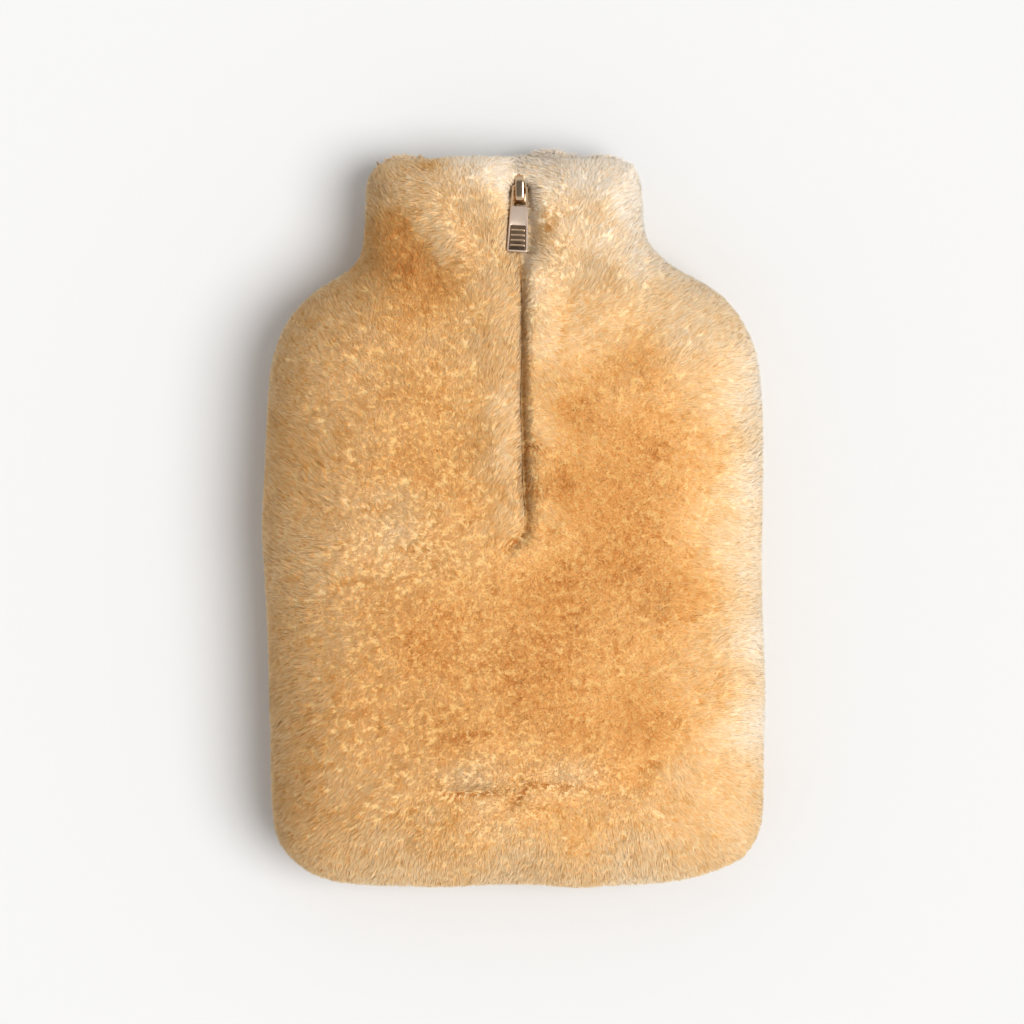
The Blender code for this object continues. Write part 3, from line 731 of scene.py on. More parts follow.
def signed_power(values: Array, power: float) -> Array:
    """Each value's size raised to a power, with its sign kept."""
    return np.sign(values) * np.abs(values) ** power


def soft_section(half_width: float, half_height: float, power: float, corners: int) -> Array:
    """A soft-edged bar's section: (half width * cos^power, half height * sin^power) round a full turn."""
    angle = np.linspace(0, 2 * math.pi, corners + 1)[:-1]
    x, z = signed_power(np.cos(angle), power), signed_power(np.sin(angle), power)
    return np.stack([half_width * x, half_height * z], axis=-1)


def ring_quads(nearer: Array, farther: Array) -> Array:
    """The quads between rings of point numbers and the rings that follow them."""
    quads = np.stack([nearer, np.roll(nearer, -1, 1), np.roll(farther, -1, 1), farther], axis=-1)
    return quads.reshape(-1, 4)


def swept(name: str, path: Array, sides: Array, ups: Array, profile: Array, closed: bool) -> bpy.types.Object:
    """A profile carried along a path: point k of ring j is path[j] + x[k] sides[j] + z[k] ups[j].

    Args:
        name: The piece's name.
        path: Places of the rings, in metres, or in millimetres for a mesh that is settled later.
        sides: For each ring, the unit vector along the profile's x.
        ups: For each ring, the unit vector along the profile's z.
        profile: The profile's (x, z) corners in the same unit, in order round it.
        closed: Whether the path ends where it starts.

    Returns:
        The object, with its ends capped where it isn't closed.
    """
    rings = path[:, None] + profile[None, :, :1] * sides[:, None] + profile[None, :, 1:] * ups[:, None]
    count, around = len(path), len(profile)
    ids = np.arange(count * around).reshape(count, around)
    nearer, farther = (ids, np.roll(ids, -1, axis=0)) if closed else (ids[:-1], ids[1:])
    quads, points = ring_quads(nearer, farther), rings.reshape(-1, 3)
    if not closed:
        points, quads = with_caps(points, quads, ids[0], ids[-1])
    made = mesh_object(name, points, quads)
    face_out(made)
    return made


def with_caps(points: Array, quads: Array, *rings: Array) -> tuple[Array, Array]:
    """The mesh with each ring closed by quads that meet its middle, one for each pair of its edges.

    Args:
        points: The mesh's points.
        quads: Its quads.
        *rings: Point numbers round each open end.

    Returns:
        The points and the quads with those of the caps.
    """
    for ring in rings:
        corners, between = ring[::2], ring[1::2]
        centre = np.full(len(corners), len(points))
        points = np.vstack([points, points[ring].mean(axis=0)])
        quads = np.vstack([quads, np.stack([corners, between, np.roll(corners, -1), centre], axis=-1)])
    return points, quads


def face_out(made: bpy.types.Object) -> None:
    """Turns the faces of a closed mesh outwards, by the sign of the volume that they hold."""
    work = bmesh.new()
    work.from_mesh(made.data)
    bmesh.ops.recalc_face_normals(work, faces=work.faces)
    if work.calc_volume(signed=True) < 0:
        bmesh.ops.reverse_faces(work, faces=work.faces)
    work.to_mesh(made.data)
    work.free()


# ---------------------------------------------------------------------------------------------------------
# Finishes
# ---------------------------------------------------------------------------------------------------------


class Value:
    """A number that varies over a surface. Each operator adds a Math node to its tree."""

    def __init__(self, nodes: "Nodes", socket: bpy.types.NodeSocket) -> None:
        """Wraps a socket of the tree."""
        self.nodes = nodes
        self.socket = socket

    def math(self, operation: str, *terms: object) -> "Value":
        """The Math node's result for these terms."""
        made = self.nodes.add("ShaderNodeMath", {"operation": operation}, dict(enumerate(terms)))
        return Value(self.nodes, made.outputs[0])

    def __add__(self, other: object) -> "Value":
        """self + other."""
        return self.math("ADD", self, other)

    def __radd__(self, other: object) -> "Value":
        """other + self."""
        return self.math("ADD", other, self)

    def __sub__(self, other: object) -> "Value":
        """self - other."""
        return self.math("SUBTRACT", self, other)

    def __rsub__(self, other: object) -> "Value":
        """other - self."""
        return self.math("SUBTRACT", other, self)

    def __mul__(self, other: object) -> "Value":
        """self * other."""
        return self.math("MULTIPLY", self, other)

    def __rmul__(self, other: object) -> "Value":
        """other * self."""
        return self.math("MULTIPLY", other, self)

    def clamped(self) -> "Value":
        """The value kept from 0 to 1."""
        return self.math("MINIMUM", self.math("MAXIMUM", self, 0.0), 1.0)


class Nodes:
    """The node tree of one material, with one method that adds any node."""

    def __init__(self, name: str, **constants: object) -> None:
        """Makes the material. constants are set on the shader's sockets by name, with _ for a space."""
        self.material = bpy.data.materials.new(name)
        self.material.use_nodes = True
        self.tree = self.material.node_tree
        self.shader = self.tree.nodes["Principled BSDF"]
        self.connect(self.shader, {key.replace("_", " "): value for key, value in constants.items()})

    def add(self, kind: str, settings: dict | None = None, sockets: dict | None = None) -> bpy.types.Node:
        """Adds a node.

        Args:
            kind: The node's type.
            settings: Its properties, which are set first. stops gives a ramp's (place, colour) pairs.
            sockets: Values or links of its inputs, by name or number.

        Returns:
            The node.
        """
        node = self.tree.nodes.new(kind)
        for key, value in (settings or {}).items():
            if key == "stops":
                self.set_stops(node.color_ramp, value)
            else:
                setattr(node, key, value)
        self.connect(node, sockets or {})
        return node

    def set_stops(self, ramp: bpy.types.ColorRamp, stops: Sequence[tuple[float, Colour]]) -> None:
        """Gives a ramp these (place, colour) stops."""
        while len(ramp.elements) < len(stops):
            ramp.elements.new(1.0)
        for element, (place, colour) in zip(ramp.elements, stops):
            element.position = place
            element.color = (*colour, 1.0)

    def connect(self, node: bpy.types.Node, sockets: dict) -> None:
        """Sets or links a node's inputs.

        Args:
            node: The node.
            sockets: Values or links of its inputs, by name or number.
        """
        for key, value in sockets.items():
            socket = node.inputs[key]
            if isinstance(value, (Value, bpy.types.NodeSocket)):
                self.tree.links.new(value.socket if isinstance(value, Value) else value, socket)
            elif socket.type == "RGBA" and len(value) == 3:
                socket.default_value = (*value, 1.0)
            else:
                socket.default_value = value

    def mix(self, share: object, first: object, second: object, blend: str = "MIX") -> bpy.types.NodeSocket:
        """Two colours mixed by share, or blended in another named way."""
        settings = {"data_type": "RGBA", "blend_type": blend}
        return self.add("ShaderNodeMix", settings, {0: share, 6: first, 7: second}).outputs[2]

    def ramp(self, value: object, *stops: tuple[float, Colour]) -> bpy.types.NodeSocket:
        """The colour that a ramp gives for a value."""
        return self.add("ShaderNodeValToRGB", {"stops": stops}, {0: value}).outputs[0]

    def place(self) -> bpy.types.NodeSocket:
        """The point on the piece, in its own coordinates."""
        return self.add("ShaderNodeTexCoord").outputs["Object"]

    def noise(self, size: float, detail: float = 2.0, stretch: Colour = (1.0, 1.0, 1.0)) -> Value:
        """Noise with bumps of about size millimetres, drawn out along each axis by stretch."""
        scale = tuple(1 / part for part in stretch)
        mapped = self.add("ShaderNodeMapping", None, {"Vector": self.place(), "Scale": scale}).outputs[0]
        sockets = {"Vector": mapped, "Scale": 1 / (size * MM), "Detail": detail}
        return Value(self, self.add("ShaderNodeTexNoise", None, sockets).outputs[0])

    def bump(self, height: Value, distance: float) -> None:
        """Feeds the shader's Normal from a height, which is distance millimetres for a value of 1."""
        made = self.add("ShaderNodeBump", None, {"Height": height, "Distance": distance * MM, "Strength": 1.0})
        self.connect(self.shader, {"Normal": made.outputs[0]})

    def colour(self, colour: object) -> bpy.types.Material:
        """Sets or links the base colour, and returns the finished material."""
        self.connect(self.shader, {"Base Color": colour})
        return self.material


@dataclass(frozen=True)
class WoolFinish:
    """Dyed wool: amber at the root, honey along the lock, and cream where it is pale; the roots are also darkened
    as painted shade among the locks.
    """

    amber: Colour = (0.38, 0.14, 0.022)
    orange: Colour = (0.61, 0.318, 0.092)
    honey: Colour = (0.79, 0.513, 0.200)
    straw: Colour = (0.93, 0.725, 0.43)
    cream: Colour = (0.98, 0.86, 0.66)
    ivory: Colour = (0.99, 0.95, 0.86)
    # root darkens each lock towards its root: partly the wool's deeper colour there, partly painted shade down
    # among the locks
    root: Colour = (1.0, 0.66, 0.40)
    roughness: float = 0.85
    sheen: float = 0.08

    def tones(self) -> tuple[tuple[float, Colour], ...]:
        """The stops of the tone ramp."""
        depths = (0.0, 0.3, 0.52, 0.76, 0.92, 1.0)
        return tuple(zip(depths, (self.amber, self.orange, self.honey, self.straw, self.cream, self.ivory)))

    def spot(self, nodes: Nodes) -> tuple[Value, Value]:
        """A piece's own map: the tone across it, and the place from root to tip up it."""
        spot = nodes.add("ShaderNodeUVMap", {"uv_map": BAKE_MAP}).outputs[0]
        parts = nodes.add("ShaderNodeSeparateXYZ", None, {0: spot})
        return Value(nodes, parts.outputs[0]), Value(nodes, parts.outputs[1])

    def locks(self) -> bpy.types.Material:
        """The finish of the locks, read from their map: tone across it, and root to tip up it, darker towards the
        root, partly as painted shade.
        """
        nodes = Nodes("wool_locks", Roughness=self.roughness, Sheen_Weight=self.sheen, Specular_IOR_Level=0.25)
        tone, up = self.spot(nodes)
        colour = nodes.ramp(tone, *self.tones())
        # painted shade: low on each lock the colour is multiplied towards the root colour, less so on pale wool
        shaded_root_colour = nodes.mix((1.35 - tone).clamped(), colour, self.root, "MULTIPLY")
        return nodes.colour(nodes.mix((up * up).clamped(), shaded_root_colour, colour))

    def pile(self) -> bpy.types.Material:
        """The finish of the dense wool: its map's tone, a little deeper as painted shade under the locks, in spots
        of a few millimetres.
        """
        nodes = Nodes("wool_pile", Roughness=0.9, Sheen_Weight=self.sheen, Specular_IOR_Level=0.2)
        tone, _ = self.spot(nodes)
        fine, broad = nodes.noise(1.1, 4.0), nodes.noise(7.0, 2.0)
        nodes.bump(fine, 0.8)
        # painted shade: the dense wool's tone is set a little deeper than that of the locks above it
        tone = tone + (fine * 0.5 + broad * 0.2 - 0.4)
        return nodes.colour(nodes.ramp(tone.clamped(), *self.tones()))

    def hide(self) -> bpy.types.Material:
        """The finish of the hide's inner side: tan suede with a short nap and faint veins."""
        nodes = Nodes("suede_hide", Roughness=0.95, Sheen_Weight=0.4, Specular_IOR_Level=0.2)
        nap, veins = nodes.noise(0.5, 5.0), nodes.noise(14.0, 6.0, (1.0, 2.5, 1.0))
        tone = (nap * 0.5 + veins * 0.5).clamped()
        nodes.bump(nap, 0.35)
        return nodes.colour(nodes.ramp(tone, (0.25, (0.42, 0.25, 0.12)), (0.75, (0.62, 0.41, 0.23))))


@dataclass(frozen=True)
class ZipFinish:
    """The zip's woven tape and moulded teeth."""

    tape: Colour = (0.46, 0.27, 0.11)
    thread: Colour = (0.60, 0.38, 0.18)
    teeth: Colour = (0.52, 0.33, 0.16)

    def woven(self) -> bpy.types.Material:
        """Twill: fine diagonal ribs of two threads."""
        nodes = Nodes("zip_twill", Roughness=0.85, Specular_IOR_Level=0.3)
        settings = {"wave_type": "BANDS", "bands_direction": "DIAGONAL"}
        sockets = {"Vector": nodes.place(), "Scale": 900.0, "Distortion": 0.6, "Detail": 1.0}
        ribs = Value(nodes, nodes.add("ShaderNodeTexWave", settings, sockets).outputs[1])
        nodes.bump(ribs, 0.12)
        return nodes.colour(nodes.mix(ribs, self.tape, self.thread))

    def moulded(self) -> bpy.types.Material:
        """Smooth resin with faint flow marks."""
        nodes = Nodes("zip_resin", Roughness=0.38, Specular_IOR_Level=0.5)
        marks = nodes.noise(0.8, 3.0)
        nodes.bump(marks, 0.03)
        darker = tuple(0.8 * part for part in self.teeth)
        return nodes.colour(nodes.mix(marks, darker, self.teeth))


class Polish(Enum):
    """How the champagne plating is finished: (roughness, colour in light, colour in wear)."""

    MIRROR = (0.10, (0.86, 0.66, 0.46), (0.74, 0.50, 0.30))
    SATIN = (0.34, (0.82, 0.66, 0.54), (0.72, 0.55, 0.43))
    # painted reflection: a dark copy of the plating for the panel's floor, for the dark that its mirror finish
    # reflects
    DARK = (0.22, (0.26, 0.17, 0.11), (0.14, 0.09, 0.06))


@dataclass(frozen=True)
class MetalFinish:
    """Champagne plating with fine brushing, handling marks and a slight change of tint."""

    polish: Polish

    def material(self) -> bpy.types.Material:
        """The finish as a material."""
        roughness, light, worn = self.polish.value
        nodes = Nodes(f"champagne_{self.polish.name.lower()}", Metallic=1.0)
        brushing, marks = nodes.noise(0.25, 3.0, (1.0, 9.0, 1.0)), nodes.noise(2.2, 5.0)
        nodes.connect(nodes.shader, {"Roughness": (marks * 0.14 + (roughness - 0.07)).clamped()})
        nodes.bump(brushing, 0.012)
        return nodes.colour(nodes.mix(marks, light, worn))


# ---------------------------------------------------------------------------------------------------------
# Pieces
# ---------------------------------------------------------------------------------------------------------


def dress(made: bpy.types.Object, material: bpy.types.Material, nodes: Sequence[str] = ()) -> None:
    """Gives a piece its finish and its slot, lets it ride on the cover, and hides the nodes it stands for.

    Args:
        made: The piece.
        material: Its finish.
        nodes: The nodes that it replaces.
    """
    made.data.materials.append(material)
    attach(made, "root")
    if nodes:
        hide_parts(*nodes)
    made.data.calc_loop_triangles()
    log.info("%s: %d triangles", made.name, len(made.data.loop_triangles))


class ValueNoise:
    """Smooth noise from -1 to 1: random values on a lattice, blended by a cubic between its corners."""

    cells = 32

    def __init__(self, seed: int, size: float) -> None:
        """Draws the lattice. size is the lattice's pitch in millimetres."""
        self.lattice = np.random.default_rng(seed).uniform(-1, 1, (self.cells,) * 3)
        self.pitch = size * MM

    def at(self, points: Array) -> Array:
        """The noise at each point.

        Args:
            points: Points in metres.

        Returns:
            Values from -1 to 1, blended from the eight corners round each point.
        """
        spot = points / self.pitch
        low = np.floor(spot).astype(int)
        t = spot - low
        t = t * t * (3 - 2 * t)
        total = np.zeros(points.shape[:-1])
        for corner in np.ndindex(2, 2, 2):
            k = (low + corner) % self.cells
            weight = np.where(corner, t, 1 - t).prod(axis=-1)
            total += weight * self.lattice[k[..., 0], k[..., 1], k[..., 2]]
        return total


@dataclass
class Growth:
    """Where locks of wool grow, one row for each, and what share of the usual lean they take."""

    base: Array
    reach: Array
    normal: Array
    half: Array
    slack: Array

    def joined(self, other: "Growth") -> "Growth":
        """These places and the other's."""
        names = ("base", "reach", "normal", "half", "slack")
        return Growth(*(np.concatenate([getattr(self, name), getattr(other, name)]) for name in names))


SPIKE = ((0, 1, 3), (1, 2, 3), (2, 0, 3))  # three root points and a tip, as three faces that point out


@dataclass
class Strands:
    """Locks of wool, one row for each: root and tip points, the skin's normal, the roots' radii, and tone."""

    points: Array
    normal: Array
    radial: Array
    tone: Array

    def chosen(self, which: Array) -> "Strands":
        """Some of the locks."""
        return Strands(self.points[which], self.normal[which], self.radial[which], self.tone[which])

    def corner_normals(self, roundness: float, least: float) -> Array:
        """Normals for the corners of the faces: mostly the skin's, so that the wool is lit as one soft body.

        At a root point it is skin + roundness * radius, at the tip the skin's. Where one would point into
        its own face, it is brought back along the face's normal until it leans out by least.

        Args:
            roundness: How far they turn round the lock.
            least: The least share along the face's own normal.

        Returns:
            Normals as (locks, faces, corners, XYZ).
        """
        skin = self.normal[:, None]
        shades = unit(np.concatenate([skin + roundness * self.radial, skin], axis=1))
        faces = np.array(SPIKE)
        corners = self.points[:, faces]
        first, second = corners[:, :, 1] - corners[:, :, 0], corners[:, :, 2] - corners[:, :, 0]
        face = unit(np.cross(first, second))[:, :, None]
        normals = shades[:, faces]
        short = np.maximum(least - (normals * face).sum(axis=-1, keepdims=True), 0)
        return unit(normals + short * face)


def across_axes(axis: Array) -> tuple[Array, Array]:
    """Two unit vectors across each axis, so that first x second = axis."""
    helper = np.where(np.abs(axis[:, :1]) < 0.9, (1.0, 0.0, 0.0), (0.0, 1.0, 0.0))
    first = unit(np.cross(helper, axis))
    return first, np.cross(axis, first)


@dataclass
class Sheepskin:
    """One skin: its hide, the dense wool on it, and the surface that its locks reach.

    Attributes:
        dense_share: How much of the wool's height is dense.
        rim_rise: How far the locks on the neck's rim stand off it.
        rim_sink: The share of that rise that they start below the rim.
        rim_share: How far across the rim they grow, from the tips' edge towards the hide's.
        rim_lean: How far they lean out of the mouth.
        rim_slack: What share of the usual lean they take.
        painted_end_light: How much paler the back skin is painted at the neck's end, as painted light where it
            lies in the front skin's shade.
    """

    skin: Skin
    form: CoverForm
    hide_thickness: float = 2.0
    dense_share: float = 0.88
    rim_rise: float = 1.3
    rim_sink: float = 0.3
    rim_share: float = 0.9
    rim_lean: float = 0.5
    rim_slack: float = 0.5
    painted_end_light: float = 0.12

    def hide_faces(self, form: CoverForm) -> tuple[Array, Array]:
        """The hide's inner and outer face, on the grid of a form."""
        faces = (form.wall, form.wall - self.hide_thickness)
        return tuple(form.surface(self.skin, Layer(inset)) for inset in faces)

    def layers(self) -> tuple[Array, Array, Array, Array]:
        """The hide's inner and outer face, the top of the dense wool, and the tips of the locks."""
        inner, outer = self.hide_faces(self.form)
        tips = self.form.surface(self.skin, Layer(0.0, loose=self.skin is Skin.FRONT))
        dense = outer + self.dense_share * (tips - outer)
        return inner, outer, dense, tips

    def build(self, finish: WoolFinish) -> tuple[bpy.types.Object, bpy.types.Object]:
        """Makes the hide and the dense wool.

        Args:
            finish: The wool's finish.

        Returns:
            The two pieces.
        """
        _, outer, dense, _ = self.layers()
        word = self.skin.name.lower()
        coarse = replace(self.form, end_rows=9, middle_rows=44, between_columns=9, near_zip_columns=9)
        inner_face, outer_face = self.hide_faces(coarse)
        hide = slab(f"{word}_hide", outer_face, inner_face, coarse.slit_row(self.skin), self.skin)
        dress(hide, finish.hide())
        pile = slab(f"{word}_pile", dense, outer, self.form.slit_row(self.skin), self.skin)
        across, along, _ = vertices_of(pile).astype(float).T / MM
        half = np.where(across < read(ZIP_LINE, "across", along), -1, 1)
        tones = lie_of_wool(across, along, half)[1]
        # Painted light: the back's dense wool is painted paler at the neck's end.
        if self.skin is Skin.BACK:
            tones = tones + self.painted_end_light * neck_end(along)
        map_tones(pile, tones, np.ones_like(tones))
        dress(pile, finish.pile(), [self.skin.value])
        return hide, pile

    def growth(self, count: int, chooser: np.random.Generator, weight: Callable[[Array], Array]) -> Growth:
        """Places for locks, spread evenly over the skin.

        The quads of the tips' surface are laid end to end by area, and one place is drawn in each of
        count equal stretches. Within its quad the place is the blend of the four corners.

        Args:
            count: How many locks.
            chooser: The source of the draws.
            weight: How much of the full density each quad has, from its middle.

        Returns:
            The places.
        """
        _, _, dense, tips = self.layers()
        normal = grid_normals(tips, self.skin)
        along, across = tips[:, 1:, :-1] - tips[:, :-1, :-1], tips[:, :-1, 1:] - tips[:, :-1, :-1]
        middle = (tips[:, 1:, 1:] + tips[:, :-1, :-1]) / 2
        area = np.linalg.norm(np.cross(along, across), axis=-1) * weight(middle)
        laid = np.cumsum(area.ravel())
        drawn = (np.arange(count) + chooser.random(count)) / count * laid[-1]
        picked = np.minimum(np.searchsorted(laid, drawn), len(laid) - 1)
        h, r, c = np.unravel_index(picked, area.shape)
        s, t = chooser.random((2, count, 1))
        blended = [
            (1 - s) * ((1 - t) * grid[h, r, c] + t * grid[h, r, c + 1])
            + s * ((1 - t) * grid[h, r + 1, c] + t * grid[h, r + 1, c + 1])
            for grid in (dense, tips, normal)
        ]
        return Growth(blended[0], blended[1], unit(blended[2]), np.where(h == 0, -1, 1), np.ones(count))

    def rim_growth(self, count: int, chooser: np.random.Generator) -> Growth:
        """Places for locks on the rim of the neck's end, from the hide's edge to the tips' edge.

        A place is (1 - s) of the tips' last row and s of the hide's, and its lock leans out along
        (0, rim_lean * (1 - s), 1).

        Args:
            count: How many locks.
            chooser: The source of the draws.

        Returns:
            The places.
        """
        _, hide, _, tips = (layer[:, -1] for layer in self.layers())
        length = np.linalg.norm(tips[:, 1:] - tips[:, :-1], axis=-1)
        laid = np.cumsum(length.ravel())
        picked = np.searchsorted(laid, (np.arange(count) + chooser.random(count)) / count * laid[-1])
        h, c = np.unravel_index(np.minimum(picked, len(laid) - 1), length.shape)
        s, t = chooser.uniform(0, self.rim_share, (count, 1)), chooser.random((count, 1))
        edges = [(1 - t) * edge[h, c] + t * edge[h, c + 1] for edge in (tips, hide)]
        on = (1 - s) * edges[0] + s * edges[1]
        normal = unit(np.hstack([np.zeros((count, 1)), self.rim_lean * (1 - s), np.ones((count, 1))]))
        rise, slack = self.rim_rise * MM, np.full(count, self.rim_slack)
        half = np.where(h == 0, -1, 1)
        return Growth(on - self.rim_sink * rise * normal, on + rise * normal, normal, half, slack)


@dataclass
class Tag:
    """Sizes and place of the pull tag, read from its node."""

    length: float = 34.0
    top_width: float = 8.0
    foot_width: float = 10.4
    thickness: float = 1.6
    top: tuple[float, float] = (3.3, 163.4)
    turn: float = -2.6
    lift: float = field(init=False)
    top_height: float = field(init=False)

    def __post_init__(self) -> None:
        """Works out how far the tag's foot is lifted, from the height of its node's box."""
        low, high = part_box("zip_pull")
        rise = (high.z - low.z) / MM
        self.lift = math.asin(rise / math.hypot(self.length, self.thickness))
        self.lift -= math.atan(self.thickness / self.length)
        self.top_height = low.z / MM + self.thickness / 2 * math.cos(self.lift)

    def world(self, local: Array) -> Array:
        """Points of the tag's own frame, in millimetres, placed on the cover, in metres.

        The frame is lifted about X by the lift, turned about Z by the turn and moved to the tag's top.
        """
        lifted_y, lifted_z = turned(local[..., 1], local[..., 2], -self.lift)
        x, y = turned(local[..., 0], lifted_y, math.radians(self.turn))
        return np.stack([x + self.top[0], y + self.top[1], lifted_z + self.top_height], axis=-1) * MM

    def over(self, points: Array, margin: float) -> tuple[Array, Array]:
        """Which points lie in the tag's plan, and the height of its underside over each, in metres.

        Args:
            points: Points in metres.
            margin: How far past the tag's edge still counts, in millimetres.

        Returns:
            Whether each point lies there, and the heights.
        """
        dx, dy = points[..., 0] / MM - self.top[0], points[..., 1] / MM - self.top[1]
        across, up = turned(dx, dy, -math.radians(self.turn))
        down = -up / math.cos(self.lift)
        share = np.clip(down / self.length, 0, 1)
        half_width = (self.top_width + share * (self.foot_width - self.top_width)) / 2 + margin
        inside = (np.abs(across) < half_width) & (down > -margin) & (down < self.length + margin)
        under = self.top_height + down * math.sin(self.lift) - self.thickness / 2
        return inside, under * MM


@dataclass
class Wool:
    """The locks of wool: fine spikes in tufts, whose tips draw together. Tones are on the map's scale."""

    form: CoverForm
    tag: Tag
    front_tufts: int = 28500
    back_tufts: int = 6500
    rim_tufts: int = 700
    front_locks: int = 8  # in each tuft
    back_locks: int = 7
    quick_share: float = 0.25
    neck_density: float = 3.0  # of the back skin's wool at the neck's end, against its sides
    floor_density: float = 0.16  # where it lies on the floor
    floor_height: float = 3.0

    spread: float = 1.0  # of a tuft's roots round its middle
    gather: float = 0.6  # the share of that spread that is left at the tips
    stray: float = 0.26  # of a tip
    depth: float = 0.3  # of the roots in the dense wool
    width: float = 0.54  # of a leaning lock, at its root
    upright_width: float = 1.05  # of a standing one
    width_change: float = 0.15  # from lock to lock, as a share
    length_change: float = 0.07
    roundness: float = 0.12  # how far the light turns round a lock
    least_facing: float = 0.08  # of a corner's normal along its own face's

    parting_full: float = 2.5  # the depth of a parting at which it counts in full
    parting_reach: float = 2.4  # how far it pushes the wool apart, in its own half widths
    parting_push: float = 0.55
    turning: float = 0.55  # radians that broad patches turn by
    swirl: float = 0.24  # how far small patches lean apart
    end_lift: float = 0.5  # the lean outwards at the neck's end
    side_fall: float = 0.45  # the lean downwards on the sides
    least_length: float = 3.9  # of a leaning lock
    lean_from: float = 0.3  # the lean from which that length comes in
    lean_run: float = 0.4
    pressed_below: float = 6.0  # the height under which the underside's wool is pressed flat
    pressed_facing: float = -0.8
    pressed_length: float = 1.5

    tone_broad: float = 0.035
    tone_fine: float = 0.04
    # painted light: how much paler the wool is painted on the sides
    painted_side_light: float = 0.06
    # painted shade: how much darker the wool is painted deep in a parting
    parting_shade: float = 0.38
    deepest_parting: float = 1.1
    tone_tuft: float = 0.02
    tone_lock: float = 0.03
    length_tone_and_shade: float = 0.5  # how much paler a longer lock is: partly bleached tips, partly painted shade on the shorter locks deeper in the wool
    tone_corner: float = 0.006  # how far the tone changes round a lock
    # painted shade: how much darker the wool is painted in the gaps between tufts
    painted_gap_shade: float = 0.24
    gap_from: float = 0.15
    painted_fine_gap_shade: float = 0.14
    fine_gap_from: float = 0.1
    tuft_top_light: float = 0.03  # how much paler the tops between the gaps are, as painted light
    gap_fade: tuple[float, float] = (1.5, 1.3)  # pale wool shows less of its painted gap shade: 1.5 - 1.3 * tone
    least_gap: float = 0.2
    darkest: float = 0.2
    palest: float = 0.99
    neck_light: float = 1.2  # how far the light sees the neck's end as facing up
    foot_light: float = 0.5

    lip_overhang: float = 0.6  # of the left lip over the zip line, and of the right lip short of it
    lip_overlap: float = 2.0  # of both lips past that line
    tip_overlap: float = 0.9  # of the tips past the roots' limit
    lip_stray: float = 0.7
    lip_softness: float = 1.4
    lip_from: float = -4.0  # along: the lips' foot
    lip_to: float = 168.0  # along: their head
    lip_flare: float = 2.0  # how fast the limit moves off past either
    lip_width: float = 12.0  # how far from its limit a lip is held back
    groove_from: float = 1.0  # how far right of the zip line the groove's painted shade is darkest
    groove_width: float = 1.8
    # painted shade: how much darker the groove's right side is painted
    groove_shade: float = 0.24
    groove_foot: tuple[float, float] = (-9.0, 10.0)  # along: where the groove's painted shade sets in, and its run
    groove_head: tuple[float, float] = (128.0, 8.0)  # along: where it ends, and its run

    tag_margin: float = 0.35
    tag_gap: float = 0.25
    floor_gap: float = 0.15
    slider_clear: float = 2.2  # half the width that stays free in the slider's bridge
    slider_foot_room: float = 0.5
    slider_head_room: float = 1.2
    noises: dict[str, ValueNoise] = field(default_factory=dict)

    def __post_init__(self) -> None:
        """Draws the noises that vary lean, tone and length, by their sizes."""
        sizes = {
            "heading": 17.0, "swirl_across": 4.2, "swirl_along": 4.2, "tone": 21.0, "tone_fine": 7.5,
            "length": 3.4, "gaps": 3.1, "fine_gaps": 1.5,
        }
        for seed, (name, size) in enumerate(sizes.items()):
            self.noises[name] = ValueNoise(seed, size)

    def parted(self, places: Growth) -> tuple[Array, Array]:
        """What the partings do: a push away from each one's long line, and how deep in one a place is.

        Args:
            places: Where the wool grows.

        Returns:
            The pushes as plan vectors, and the depths.
        """
        across, along = places.reach[:, 0] / MM, places.reach[:, 1] / MM
        push, depth = np.zeros((len(across), 2)), np.zeros(len(across))
        for parting in PARTINGS.values():
            turn = math.radians(parting.turn)
            normal = np.array([-math.sin(turn), math.cos(turn)])
            off = (across - parting.across) * normal[0] + (along - parting.along) * normal[1]
            wide = parting._replace(half_width=parting.half_width * self.parting_reach)
            share = mound_share(wide, across, along) * -parting.height / self.parting_full
            push += (np.tanh(off / parting.half_width) * share * self.parting_push)[:, None] * normal
            depth += mound_share(parting, across, along) * -parting.height / self.parting_full
        return push, depth

    def tufts(self, places: Growth, front: bool) -> tuple[Array, Array, Array]:
        """Each tuft's lean along the skin, its length and its tone.

        Args:
            places: Where the tufts grow.
            front: Whether they are on the front skin.

        Returns:
            Lean vectors along the skin in metres, rise along the normal in metres, and tones.
        """
        plan, tone = lie_of_wool(places.reach[:, 0] / MM, places.reach[:, 1] / MM, places.half)
        push, depth = self.parted(places)
        noise = {name: drawn.at(places.reach) for name, drawn in self.noises.items()}
        normal, facing_up = places.normal, places.normal[:, 2]
        if front:
            plan = plan + push
        plan = np.stack(turned(plan[:, 0], plan[:, 1], self.turning * noise["heading"]), axis=-1)
        swirls = np.stack([noise["swirl_across"], noise["swirl_along"]], axis=-1)
        plan = (plan + self.swirl * swirls) * places.slack[:, None]
        side = 1 - np.abs(facing_up)
        at_end = neck_end(places.reach[:, 1] / MM)
        upward = self.end_lift * at_end * np.clip(normal[:, 1], 0, 1) - self.side_fall * side
        lean = np.concatenate([plan, upward[:, None]], axis=1)
        lean -= (lean * normal).sum(axis=1, keepdims=True) * normal
        rise = np.linalg.norm(places.reach - places.base, axis=1) * (1 + self.length_change * noise["length"])
        steep = np.linalg.norm(lean, axis=1)
        fill = np.sqrt(np.maximum((self.least_length * MM) ** 2 - rise**2, 0))
        along = np.maximum(rise * steep, fill * np.clip((steep - self.lean_from) / self.lean_run, 0, 1))
        # Painted light: the sides are painted paler.
        tone = tone + self.tone_broad * noise["tone"] + self.tone_fine * noise["tone_fine"] + self.painted_side_light * side
        if front:
